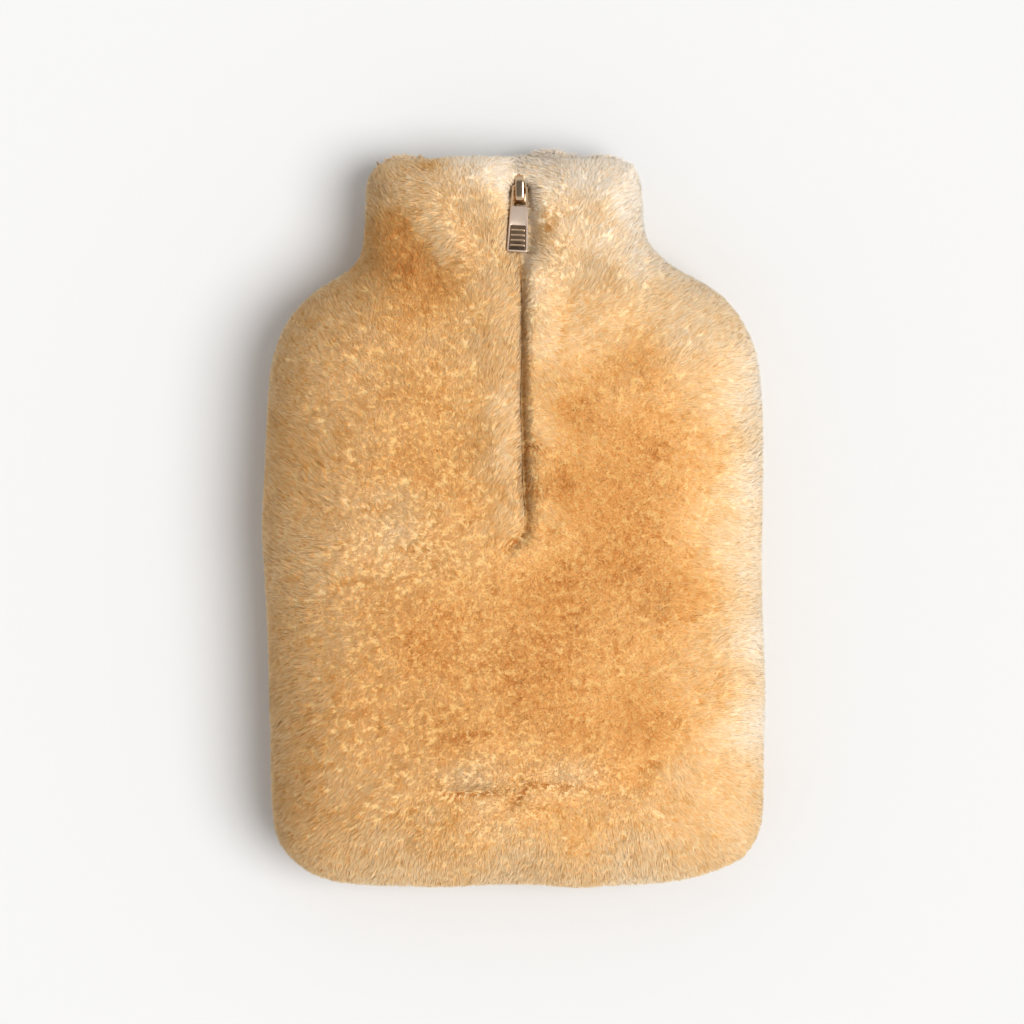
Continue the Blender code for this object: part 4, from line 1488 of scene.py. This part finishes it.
            # Painted shade: the tone is painted darker deep in partings and over the groove's right side.
            tone = tone - self.parting_shade * np.minimum(depth, self.deepest_parting) - self.painted_groove_shade(places)
        else:
            under = (facing_up < self.pressed_facing) & (places.reach[:, 2] < self.pressed_below * MM)
            along = np.where(under, rise * self.pressed_length, along)
            # Painted light: the back's locks are painted paler at the neck's end, where the front skin shades
            # them.
            tone = tone + Sheepskin.painted_end_light * at_end
        return lean / np.maximum(steep, 1e-6)[:, None] * along[:, None], rise, tone

    def painted_groove_shade(self, places: Growth) -> Array:
        """How much deeper the tone is painted in the groove, as painted shade: a bell over its right side, from
        its foot to the tag.
        """
        across, along = places.reach[:, 0] / MM, places.reach[:, 1] / MM
        off = across - read(ZIP_LINE, "across", along) - self.groove_from
        (foot, foot_run), (head, head_run) = self.groove_foot, self.groove_head
        length = np.clip((along - foot) / foot_run, 0, 1) * np.clip((head - along) / head_run, 0, 1)
        return self.groove_shade * length * np.exp(-((off / self.groove_width) ** 2))

    def strands(self, places: Growth, per_tuft: int, front: bool, chooser: np.random.Generator) -> Strands:
        """The locks of all tufts: three sided spikes from root to tip.

        A lock's root is offset from its tuft's middle, and its tip by a share of that offset and a little
        stray. Its three root points stand round its axis at 120 degrees, radius * (cos a, sin a).

        Args:
            places: Where the tufts grow.
            per_tuft: Locks in each tuft.
            front: Whether they are on the front skin.
            chooser: The source of the draws.

        Returns:
            The locks.
        """
        lean, rise, tone = self.tufts(places, front)
        count = len(rise)
        total = count * per_tuft
        normal, base, lean = (np.repeat(rows, per_tuft, axis=0) for rows in (places.normal, places.base, lean))
        rise, tone = np.repeat(rise, per_tuft), np.repeat(tone, per_tuft)
        first, second = across_axes(normal)
        off = chooser.normal(0, self.spread * MM, (total, 2))
        offset = first * off[:, :1] + second * off[:, 1:]
        longer = chooser.normal(0, self.length_change, total)
        root = base + offset - normal * self.depth * MM
        tip = base + offset * self.gather + (normal * rise[:, None] + lean) * (1 + longer)[:, None]
        tip += chooser.normal(0, self.stray * MM, (total, 3))
        strand = unit(tip - root)
        upright = np.clip((strand * normal).sum(axis=1), 0, 1) ** 4
        width = self.width + (self.upright_width - self.width) * upright
        width = width * (1 + chooser.normal(0, self.width_change, total))
        first, second = across_axes(strand)
        angle = chooser.uniform(0, 2 * math.pi, total)[:, None] + np.radians((0.0, 120.0, 240.0))
        radial = first[:, None] * np.cos(angle)[..., None] + second[:, None] * np.sin(angle)[..., None]
        points = np.concatenate([root[:, None] + radial * (width / 2 * MM)[:, None, None], tip[:, None]], axis=1)
        if front:
            self.part_over_zip(points, np.repeat(places.half, per_tuft), chooser)
        # Longer locks are paler: partly bleached tips, partly painted shade on the shorter ones.
        tone = tone + self.length_tone_and_shade * longer
        tone = tone + chooser.normal(0, self.tone_tuft, count).repeat(per_tuft)
        tone = tone + chooser.normal(0, self.tone_lock, total)
        # Painted shade: the gaps between tufts are painted darker, less so on pale wool.
        tone = tone - self.gap_shade(root) * np.clip(self.gap_fade[0] - self.gap_fade[1] * tone, self.least_gap, 1)
        along = base[:, 1] / MM
        light = self.neck_light * neck_end(along) + self.foot_light * foot_end(along)
        shades = normal + (light * np.abs(normal[:, 1]))[:, None] * (0, 0, 1)
        return Strands(points, unit(shades), radial, np.clip(tone, self.darkest, self.palest))

    def gap_shade(self, roots: Array) -> Array:
        """How much deeper the tone is painted in the small gaps between tufts, as painted shade, with the tops
        between them painted a little paler.
        """
        coarse, fine = self.noises["gaps"].at(roots), self.noises["fine_gaps"].at(roots)
        coarse, fine = np.clip(coarse - self.gap_from, 0, 1), np.clip(fine - self.fine_gap_from, 0, 1)
        return self.painted_gap_shade * coarse + self.painted_fine_gap_shade * fine - self.tuft_top_light

    def part_over_zip(self, points: Array, half: Array, chooser: np.random.Generator) -> None:
        """Keeps the locks of each lip near their side of the zip line, as soft rolls that lap over it.

        Each lip's limit lies lip_overlap past the line, and tip_overlap further for tips. With d the distance
        behind the limit, it becomes softness * ln(1 + exp(d / softness)). Below the lips' foot and above their
        head the limit moves off at lip_flare times the distance.

        Args:
            points: Points of the locks, in metres, which are moved.
            half: The half of the skin of each lock.
            chooser: The source of the draws.
        """
        across, along = points[..., 0] / MM, points[..., 1] / MM
        side = half[:, None]
        overlap = self.lip_overlap + self.tip_overlap * np.array((0.0, 0.0, 0.0, 1.0))
        overhang = self.lip_overhang - side * overlap + chooser.normal(0, self.lip_stray, side.shape)
        limit = read(ZIP_LINE, "across", along) + overhang
        spare = self.lip_flare * (np.maximum(self.lip_from - along, 0) + np.maximum(along - self.lip_to, 0))
        off = side * (across - limit) + spare
        pushed = self.lip_softness * np.logaddexp(0, off / self.lip_softness)
        points[..., 0] = np.where(off < self.lip_width, limit + side * (pushed - spare), across) * MM

    def cleared(self, strands: Strands) -> Strands:
        """Presses locks that would come up through the tag under it, and drops those in the slider's bridge.

        Args:
            strands: The locks, whose points are moved.

        Returns:
            The locks that are left.
        """
        points = strands.points
        inside, under = self.tag.over(points, self.tag_margin)
        height = np.where(inside, np.minimum(points[..., 2], under - self.tag_gap * MM), points[..., 2])
        points[..., 2] = np.maximum(height, self.floor_gap * MM)
        low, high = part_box("zip_slider")
        foot, head = low.y - self.slider_foot_room * MM, high.y - self.slider_head_room * MM
        near = np.abs(points[..., 0] - (low.x + high.x) / 2) < self.slider_clear * MM
        near &= (points[..., 1] > foot) & (points[..., 1] < head) & (points[..., 2] > low.z)
        return strands.chosen(~near.any(axis=1))

    def piece(self, name: str, strands: Strands, material: bpy.types.Material) -> bpy.types.Object:
        """One mesh of locks, with its tone and root-to-tip map and its own normals.

        Args:
            name: The piece's name.
            strands: The locks.
            material: Their finish.

        Returns:
            The piece.
        """
        count = len(strands.points)
        faces = (np.arange(count)[:, None, None] * 4 + np.array(SPIKE)).reshape(-1, 3)
        made = mesh_object(name, strands.points.reshape(-1, 3), faces)
        tones = strands.tone[:, None] + self.tone_corner * np.array((-1.0, 0.0, 1.0, 0.0))
        map_tones(made, tones.ravel(), np.tile([0.0, 0.0, 0.0, 1.0], count))
        normals = made.data.attributes.new("custom_normal", "FLOAT_VECTOR", "CORNER")
        vectors = strands.corner_normals(self.roundness, self.least_facing)
        normals.data.foreach_set("vector", vectors.astype(np.float32).ravel())
        made.data.update()
        dress(made, material)
        return made

    def build(self, front: Sheepskin, back: Sheepskin, finish: WoolFinish) -> dict[Skin, list[bpy.types.Object]]:
        """Grows the locks on both skins.

        Args:
            front: The front skin.
            back: The back skin.
            finish: The wool's finish.

        Returns:
            The pieces on each skin.
        """
        material = finish.locks()
        chooser = np.random.default_rng(7)
        scale = 1.0
        places = front.growth(int(self.front_tufts * scale), chooser, lambda middle: np.ones(middle.shape[:-1]))
        strands = self.cleared(self.strands(places, self.front_locks, True, chooser))
        middle = strands.points[:, 0]
        left = middle[:, 0] < read(ZIP_LINE, "across", middle[:, 1] / MM) * MM
        made = {Skin.FRONT: [], Skin.BACK: []}
        for side, chosen in (("left", left), ("right", ~left)):
            halfway = np.median(middle[chosen, 1])
            for level, part in (("low", middle[:, 1] < halfway), ("high", middle[:, 1] >= halfway)):
                name = f"wool_{level}_{side}"
                made[Skin.FRONT].append(self.piece(name, strands.chosen(chosen & part), material))
        places = back.growth(int(self.back_tufts * scale), chooser, self.back_density)
        places = places.joined(back.rim_growth(int(self.rim_tufts * scale), chooser))
        strands = self.cleared(self.strands(places, self.back_locks, False, chooser))
        made[Skin.BACK].append(self.piece("wool_back", strands, material))
        return made

    def back_density(self, middle: Array) -> Array:
        """The back skin's density: most at the neck's end, and a sixth where it is pressed on the floor."""
        free = 1 + (self.neck_density - 1) * neck_end(middle[..., 1] / MM)
        return np.where(middle[..., 2] > self.floor_height * MM, free, self.floor_density)


TOOTH_RINGS = ((0.82, 0.0), (1.0, 0.22), (1.0, 0.72), (0.72, 1.0))  # a tooth's (width, height), as shares
TOOTH_CORNERS = ((-1, -0.7), (-0.8, -1), (0.8, -1), (1, -0.7), (1, 0.7), (0.8, 1), (-0.8, 1), (-1, 0.7))
OCTAGON = ((0, 1, 2, 3), (0, 3, 4, 7), (7, 4, 5, 6))  # an eight-sided face as three quads


@dataclass
class Zip:
    """The closed zip: a narrow strip of tape with two rows of teeth that interlock."""

    form: CoverForm
    foot: float = 3.0
    head: float = 162.4
    tape_width: float = 4.8
    tape_thickness: float = 1.0
    tape_edge: float = 0.25
    stations: int = 60
    end_room: float = 1.0
    teeth_width: float = 3.9
    teeth_height: float = 1.2
    pitch: float = 1.9
    tooth_length: float = 1.25
    hook: float = 0.15
    lap: float = 0.1

    def line(self, count: int) -> tuple[Array, Array, Array]:
        """Places along the zip in metres, with the unit vectors to its side and up.

        Args:
            count: How many places.

        Returns:
            The places and both vectors at each.
        """
        along = np.linspace(self.foot, self.head, count)
        path = np.stack([read(ZIP_LINE, "across", along), along, self.form.zip_height(along)], axis=-1) * MM
        ahead = unit(np.gradient(path, axis=0))
        sides = unit(np.cross(ahead, (0.0, 0.0, 1.0)))
        return path, sides, np.cross(sides, ahead)

    def build(self, finish: ZipFinish) -> list[bpy.types.Object]:
        """Makes the tape and the teeth.

        Args:
            finish: The zip's finish.

        Returns:
            The two pieces.
        """
        path, sides, ups = self.line(self.stations)
        half, high, soft = self.tape_width / 2, self.tape_thickness, self.tape_edge
        right = ((half - soft, 0), (half, soft), (half, high - soft), (half - soft, high))
        section = ((-half + soft, 0), *right, (-half + soft, high), (-half, high - soft), (-half, soft))
        tape = swept("zip_tape", path, sides, ups, np.array(section) * MM, False)
        dress(tape, finish.woven(), ["zip_chain"])
        teeth = self.teeth()
        dress(teeth, finish.moulded())
        return [tape, teeth]

    def teeth(self) -> bpy.types.Object:
        """Two rows of teeth, each a rounded block that hooks past the middle, half a pitch apart.

        A tooth's points are its rings of corners, scaled to its size in the zip's own frame.
        """
        count = int((self.head - self.foot - self.end_room) / self.pitch) * 2
        path, sides, ups = self.line(count)
        aheads = np.cross(ups, sides)
        block = np.array([(x * wide, y * wide, up) for wide, up in TOOTH_RINGS for x, y in TOOTH_CORNERS])
        reach = self.teeth_width / 4
        block = block * (reach + self.hook, self.tooth_length / 2, self.teeth_height)
        hand = np.where(np.arange(count) % 2, 1.0, -1.0)
        shift = np.stack([hand * (reach - self.lap), 0 * hand, 0 * hand + self.tape_thickness], axis=-1)
        local = block + shift[:, None]
        frames = np.stack([sides, aheads, ups], axis=1)
        points = path[:, None] + MM * (local[..., None] * frames[:, None]).sum(axis=2)
        ids = np.arange(len(block)).reshape(len(TOOTH_RINGS), len(TOOTH_CORNERS))
        caps = [ring[list(corners)] for ring in (ids[0][::-1], ids[-1]) for corners in OCTAGON]
        faces = np.vstack([ring_quads(ids[:-1], ids[1:]), caps])
        faces = (np.arange(count)[:, None, None] * len(block) + faces).reshape(-1, 4)
        return mesh_object("zip_teeth", points.reshape(-1, 3), faces)


def rounded_outline(half_top: float, half_foot: float, high: float, low: float, radius: float, arc: int) -> Array:
    """A four-sided outline with arcs at its corners, anticlockwise from its lower right side.

    Args:
        half_top: Half its width at the top.
        half_foot: Half its width at the foot.
        high: Its top edge.
        low: Its foot edge.
        radius: Radius of the corners' arcs.
        arc: Points on each arc.

    Returns:
        The (x, y) points.
    """
    corners = ((half_foot, low, -90), (half_top, high, 0), (-half_top, high, 90), (-half_foot, low, 180))
    points = []
    for x, y, start in corners:
        angle = np.radians(start + np.linspace(0, 90, arc))
        centre = np.array([x - math.copysign(radius, x), y + (radius if y == low else -radius)])
        points.append(centre + radius * np.stack([np.cos(angle), np.sin(angle)], axis=-1))
    return np.vstack(points)


def stacked(name: str, rings: Sequence[Array], place: Callable[[Array], Array]) -> bpy.types.Object:
    """A closed shell through rings of points, one on the next, its two ends closed by quads.

    Args:
        name: The piece's name.
        rings: Arrays of the same number of (x, y, z) points, from the underside round to the top.
        place: Turns points of the piece's frame into metres on the cover.

    Returns:
        The object.
    """
    count, around = len(rings), len(rings[0])
    ids = np.arange(count * around).reshape(count, around)
    points, quads = with_caps(np.vstack(rings), ring_quads(ids[:-1], ids[1:]), ids[0], ids[-1])
    made = mesh_object(name, place(points), quads)
    face_out(made)
    return made


def lifted(outline: Array, height: float) -> Array:
    """The outline's points at one height."""
    return np.hstack([outline, np.full((len(outline), 1), height)])


def stepped(outline: Callable[[float], Array], *steps: tuple[float, float]) -> list[Array]:
    """A plate's rings from its underside up: for each (inset, height) step, the outline drawn in and lifted."""
    return [lifted(outline(inset), height) for inset, height in steps]


def plate_them(finished: Sequence[tuple[bpy.types.Object, bpy.types.Material]], node: str) -> None:
    """Gives metal pieces their plating. The first of them stands for the node."""
    for number, (piece, plating) in enumerate(finished):
        dress(piece, plating, () if number else (node,))


@dataclass
class PullTag:
    """The flat tag: a loop that hooks under the slider's bridge, a satin strap and a ribbed panel darkened as
    painted reflection.
    """

    tag: Tag
    window_length: float = 9.4
    window_width: float = 5.4
    hook_bar: float = 1.5
    loop_lap: float = 0.9
    loop_corner: float = 1.1
    loop_power: float = 0.62
    corner: float = 0.9
    least_corner: float = 0.15
    edge: float = 0.28
    edge_step: float = 0.3
    panel_length: float = 12.8
    panel_margin: float = 0.75
    panel_depth: float = 0.38
    panel_corner: float = 0.5
    plate_corner: float = 0.45
    ribs: int = 4
    rib_width: float = 1.0
    rib_corner: float = 0.18
    rib_margin: float = 1.9

    def half_width(self, along: float) -> float:
        """Half the tag's width at a place down its length."""
        tag = self.tag
        return (tag.top_width + (tag.foot_width - tag.top_width) * -along / tag.length) / 2

    def loop(self) -> bpy.types.Object:
        """The loop: a rounded bar carried round the window, from the hook under the bridge to the strap."""
        foot = -self.hook_bar - self.window_length - self.loop_lap
        bar = (self.tag.top_width - self.window_width) / 2
        top_half, foot_half = self.half_width(0) - bar / 2, self.half_width(foot) - bar / 2
        path = lifted(rounded_outline(top_half, foot_half, -bar / 2, foot, self.loop_corner, 7), 0.0)
        ahead = unit(np.roll(path, -1, axis=0) - np.roll(path, 1, axis=0))
        up = np.broadcast_to((0.0, 0.0, 1.0), path.shape)
        section = soft_section(bar / 2, self.tag.thickness / 2, self.loop_power, 16)
        made = swept("tag_loop", path, np.cross(ahead, up), up, section, True)
        settle(made, self.tag.world)
        return made

    def outline(self, high: float, low: float, inset: float, radius: float, margin: float = 0.0) -> Array:
        """The tag's outline between two places down its length, drawn in by inset, and by margin at its sides."""
        top, foot = (self.half_width(along) - margin - inset for along in (high, low))
        return rounded_outline(top, foot, high - inset, low + inset, radius, 6)

    def panel_outline(self, inset: float, radius: float) -> Array:
        """The panel's outline drawn in by inset."""
        low = -self.tag.length + self.panel_margin
        return self.outline(low + self.panel_length, low, inset, radius, self.panel_margin)

    def strap(self) -> bpy.types.Object:
        """The strap: a plate with rounded edges whose top steps down into the panel's floor."""
        high, low, half = -self.hook_bar - self.window_length, -self.tag.length, self.tag.thickness / 2
        edge, small = self.edge, self.edge * self.edge_step
        rings = stepped(
            lambda inset: self.outline(high, low, inset, max(self.corner - inset, self.least_corner)),
            (edge, -half), (small, -half + small), (0.0, -half + edge),
            (0.0, half - edge), (small, half - small), (edge, half),
        )
        rings += stepped(
            lambda inset: self.panel_outline(inset, self.panel_corner),
            (0.0, half), (0.12, half - 0.06), (0.16, half - self.panel_depth),
        )
        return stacked("tag_strap", rings, self.tag.world)

    def panel(self) -> bpy.types.Object:
        """The dark plate on the panel's floor, darkened as painted reflection."""
        floor = self.tag.thickness / 2 - self.panel_depth
        rings = stepped(
            lambda inset: self.panel_outline(inset, self.plate_corner),
            (0.22, floor - 0.05), (0.2, floor + 0.05), (0.3, floor + 0.09),
        )
        return stacked("tag_panel", rings, self.tag.world)

    def rib(self, number: int) -> bpy.types.Object:
        """One rib: a bar across the panel with a rounded back and ends.

        Args:
            number: Which rib, counted from the foot.

        Returns:
            The piece.
        """
        floor, low = self.tag.thickness / 2 - self.panel_depth, -self.tag.length + self.panel_margin
        middle = low + number * self.panel_length / (self.ribs + 1)
        high, low = middle + self.rib_width / 2, middle - self.rib_width / 2
        reach = self.half_width(middle) - self.rib_margin * self.panel_margin

        def outline(inset: float) -> Array:
            """The rib's outline drawn in by inset."""
            half = reach - inset
            return rounded_outline(half, half, high - inset, low + inset, self.rib_corner, 5)

        steps = ((0.0, floor - 0.1), (0.0, floor + 0.18), (0.12, floor + 0.33), (0.3, floor + 0.42))
        rings = stepped(outline, *steps)
        return stacked(f"tag_rib_{number}", rings, self.tag.world)

    def build(self) -> None:
        """Makes the tag's pieces."""
        polishes = (Polish.SATIN, Polish.MIRROR, Polish.DARK)
        satin, mirror, dark = (MetalFinish(polish).material() for polish in polishes)
        # dark is the painted reflection on the panel's floor
        finished = [(self.strap(), satin), (self.loop(), mirror), (self.panel(), dark)]
        finished += [(self.rib(number), mirror) for number in range(1, self.ribs + 1)]
        plate_them(finished, "zip_pull")


@dataclass
class Slider:
    """The slider: two plates joined by a nose round the chain, and a bridge arched over the upper one."""

    length: float = 15.0
    width: float = 9.2
    tail_width: float = 7.4
    under_narrowing: float = 2.2
    corner: float = 2.2
    plate: float = 1.1
    plate_edge: float = 0.3
    clearance: float = 0.35
    chain: float = 2.2
    bridge_length: float = 13.8
    bridge_width: float = 4.2
    bridge_room: float = 2.9
    bridge_thickness: float = 1.3
    bridge_sink: float = 0.3
    bridge_power: float = 0.42
    nose_half_width: float = 1.8
    nose: tuple[float, float] = (4.6, 1.4)
    nose_corner: float = 0.5
    centre: tuple[float, float] = (3.0, 161.8)
    turn: float = 1.0
    chain_foot: float = field(init=False)

    def __post_init__(self) -> None:
        """Reads the chain's height under the slider from the slider's node."""
        self.chain_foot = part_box("zip_slider")[0].z / MM + self.plate + self.clearance

    def world(self, local: Array) -> Array:
        """Points of the slider's own frame, turned about Z and placed on the cover, in metres."""
        x, y = turned(local[..., 0], local[..., 1], math.radians(self.turn))
        return np.stack([x + self.centre[0], y + self.centre[1], local[..., 2] + self.chain_foot], axis=-1) * MM

    def plate_piece(self, name: str, low: float, narrowing: float) -> bpy.types.Object:
        """A plate with rounded edges, from the height low up, narrower by narrowing than the slider.

        Args:
            name: The piece's name.
            low: Its underside's height over the chain's foot.
            narrowing: How much narrower it is.

        Returns:
            The piece.
        """
        head, tail, end = (self.width - narrowing) / 2, (self.tail_width - narrowing) / 2, self.length / 2
        soft, high = self.plate_edge, low + self.plate

        def outline(inset: float) -> Array:
            """The plate's outline drawn in by inset."""
            reach, corner = end - inset, self.corner - inset
            return rounded_outline(head - inset, tail - inset, reach, -reach, corner, 8)

        rings = stepped(outline, (soft, low), (0.0, low + soft), (0.0, high - soft), (soft, high))
        return stacked(name, rings, self.world)

    def bridge(self) -> bpy.types.Object:
        """The bridge: a soft-edged strip carried over a flat arch, (|y| / reach)^4 + (z / rise)^4 = 1."""
        foot = self.chain + self.clearance + self.plate - self.bridge_sink
        reach = (self.bridge_length - self.bridge_thickness) / 2
        rise = self.bridge_room + self.bridge_thickness / 2 + self.bridge_sink
        angle = np.linspace(0, math.pi, 41)
        y, z = signed_power(np.cos(angle), 0.5), np.abs(np.sin(angle)) ** 0.5
        path = np.stack([np.zeros_like(y), reach * y, foot + rise * z], axis=-1)
        sides = np.broadcast_to((1.0, 0.0, 0.0), path.shape)
        ups = np.cross(sides, unit(np.gradient(path, axis=0)))
        section = soft_section(self.bridge_width / 2, self.bridge_thickness / 2, self.bridge_power, 20)
        made = swept("slider_bridge", path, sides, ups, section, False)
        settle(made, self.world)
        return made

    def nose_piece(self) -> bpy.types.Object:
        """The nose that joins the plates ahead of the chain."""
        outline = rounded_outline(self.nose_half_width, self.nose_half_width, *self.nose, self.nose_corner, 5)
        heights = (-self.clearance - self.plate / 2, self.chain + self.clearance + self.plate / 2)
        return stacked("slider_nose", [lifted(outline, height) for height in heights], self.world)

    def build(self) -> None:
        """Makes the slider's pieces."""
        mirror = MetalFinish(Polish.MIRROR).material()
        upper = self.plate_piece("slider_plate", self.chain + self.clearance, 0.0)
        under = self.plate_piece("slider_under", -self.clearance - self.plate, self.under_narrowing)
        pieces = (upper, under, self.nose_piece(), self.bridge())
        plate_them([(piece, mirror) for piece in pieces], "zip_slider")


@dataclass
class Studio:
    """The pale floor, the lights and the camera straight above."""

    floor_half: float = 4.0
    floor_tint: Colour = (0.72, 0.72, 0.72)
    picture_width: float = 506.5
    picture_middle: tuple[float, float] = (-0.7, 2.7)
    seam_height: float = 33.0
    camera_height: float = 2400.0
    sensor: float = 36.0
    key_heading: float = -16.0
    key_height: float = 61.0
    key_softness: float = 38.0
    key_strength: float = 2.65
    sky_strength: float = 0.64
    sky_tint: Colour = (1.0, 0.99, 0.98)
    zenith_from: float = 0.90
    zenith_to: float = 0.97
    zenith_shade: float = 0.25

    def floor(self) -> None:
        """A wide plane at height 0, matt and almost white."""
        half = self.floor_half
        points = np.array([(-half, -half, 0), (half, -half, 0), (half, half, 0), (-half, half, 0)])
        made = mesh_object("floor", points, np.array([[0, 1, 2, 3]]))
        nodes = Nodes("floor_paper", Roughness=0.8, Specular_IOR_Level=0.1)
        made.data.materials.append(nodes.colour(self.floor_tint))

    def lights(self) -> None:
        """A broad soft key from the right, a little below the picture's middle, and an even sky."""
        key = bpy.data.lights.new("key", "SUN")
        key.energy = self.key_strength
        key.angle = math.radians(self.key_softness)
        lamp = bpy.data.objects.new("key", key)
        lamp.rotation_euler = (0, math.radians(90 - self.key_height), math.radians(self.key_heading))
        bpy.context.scene.collection.objects.link(lamp)
        world = bpy.data.worlds.new("sky")
        bpy.context.scene.world = world
        world.use_nodes = True
        tree, sky = world.node_tree, world.node_tree.nodes["Background"]
        sky.inputs["Strength"].default_value = self.sky_strength
        direction = tree.nodes.new("ShaderNodeTexCoord").outputs["Generated"]
        parts = tree.nodes.new("ShaderNodeSeparateXYZ")
        ramp = tree.nodes.new("ShaderNodeValToRGB")
        low, high = ramp.color_ramp.elements
        low.position, low.color = self.zenith_from, (*self.sky_tint, 1.0)
        high.position, high.color = self.zenith_to, (*(self.zenith_shade,) * 3, 1.0)
        tree.links.new(direction, parts.inputs[0])
        tree.links.new(parts.outputs[2], ramp.inputs[0])
        tree.links.new(ramp.outputs[0], sky.inputs["Color"])

    def camera(self) -> None:
        """A long lens straight above, framed so that the picture's width lies at the seam's height."""
        data = bpy.data.cameras.new("camera")
        data.sensor_width = self.sensor
        data.lens = self.sensor * (self.camera_height - self.seam_height) / self.picture_width
        data.clip_end = 5 * self.floor_half
        made = bpy.data.objects.new("camera", data)
        made.location = (self.picture_middle[0] * MM, self.picture_middle[1] * MM, self.camera_height * MM)
        bpy.context.scene.collection.objects.link(made)
        bpy.context.scene.camera = made

    def build(self) -> None:
        """Makes the studio."""
        self.floor()
        self.lights()
        self.camera()
        bpy.context.scene.view_settings.view_transform = "Standard"


def main() -> None:
    """Builds the cover over its frame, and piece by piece."""
    logging.basicConfig(level=logging.INFO, format="%(name)s: %(message)s")
    Studio().build()
    form, tag = CoverForm(), Tag()
    wool_finish = WoolFinish()
    front, back = Sheepskin(Skin.FRONT, form), Sheepskin(Skin.BACK, form)
    hides = {sheepskin.skin: sheepskin.build(wool_finish) for sheepskin in (front, back)}
    locks = Wool(form, tag).build(front, back, wool_finish)
    zip_pieces = Zip(form).build(ZipFinish())
    Slider().build()
    PullTag(tag).build()


if __name__ == "__main__":
    main()
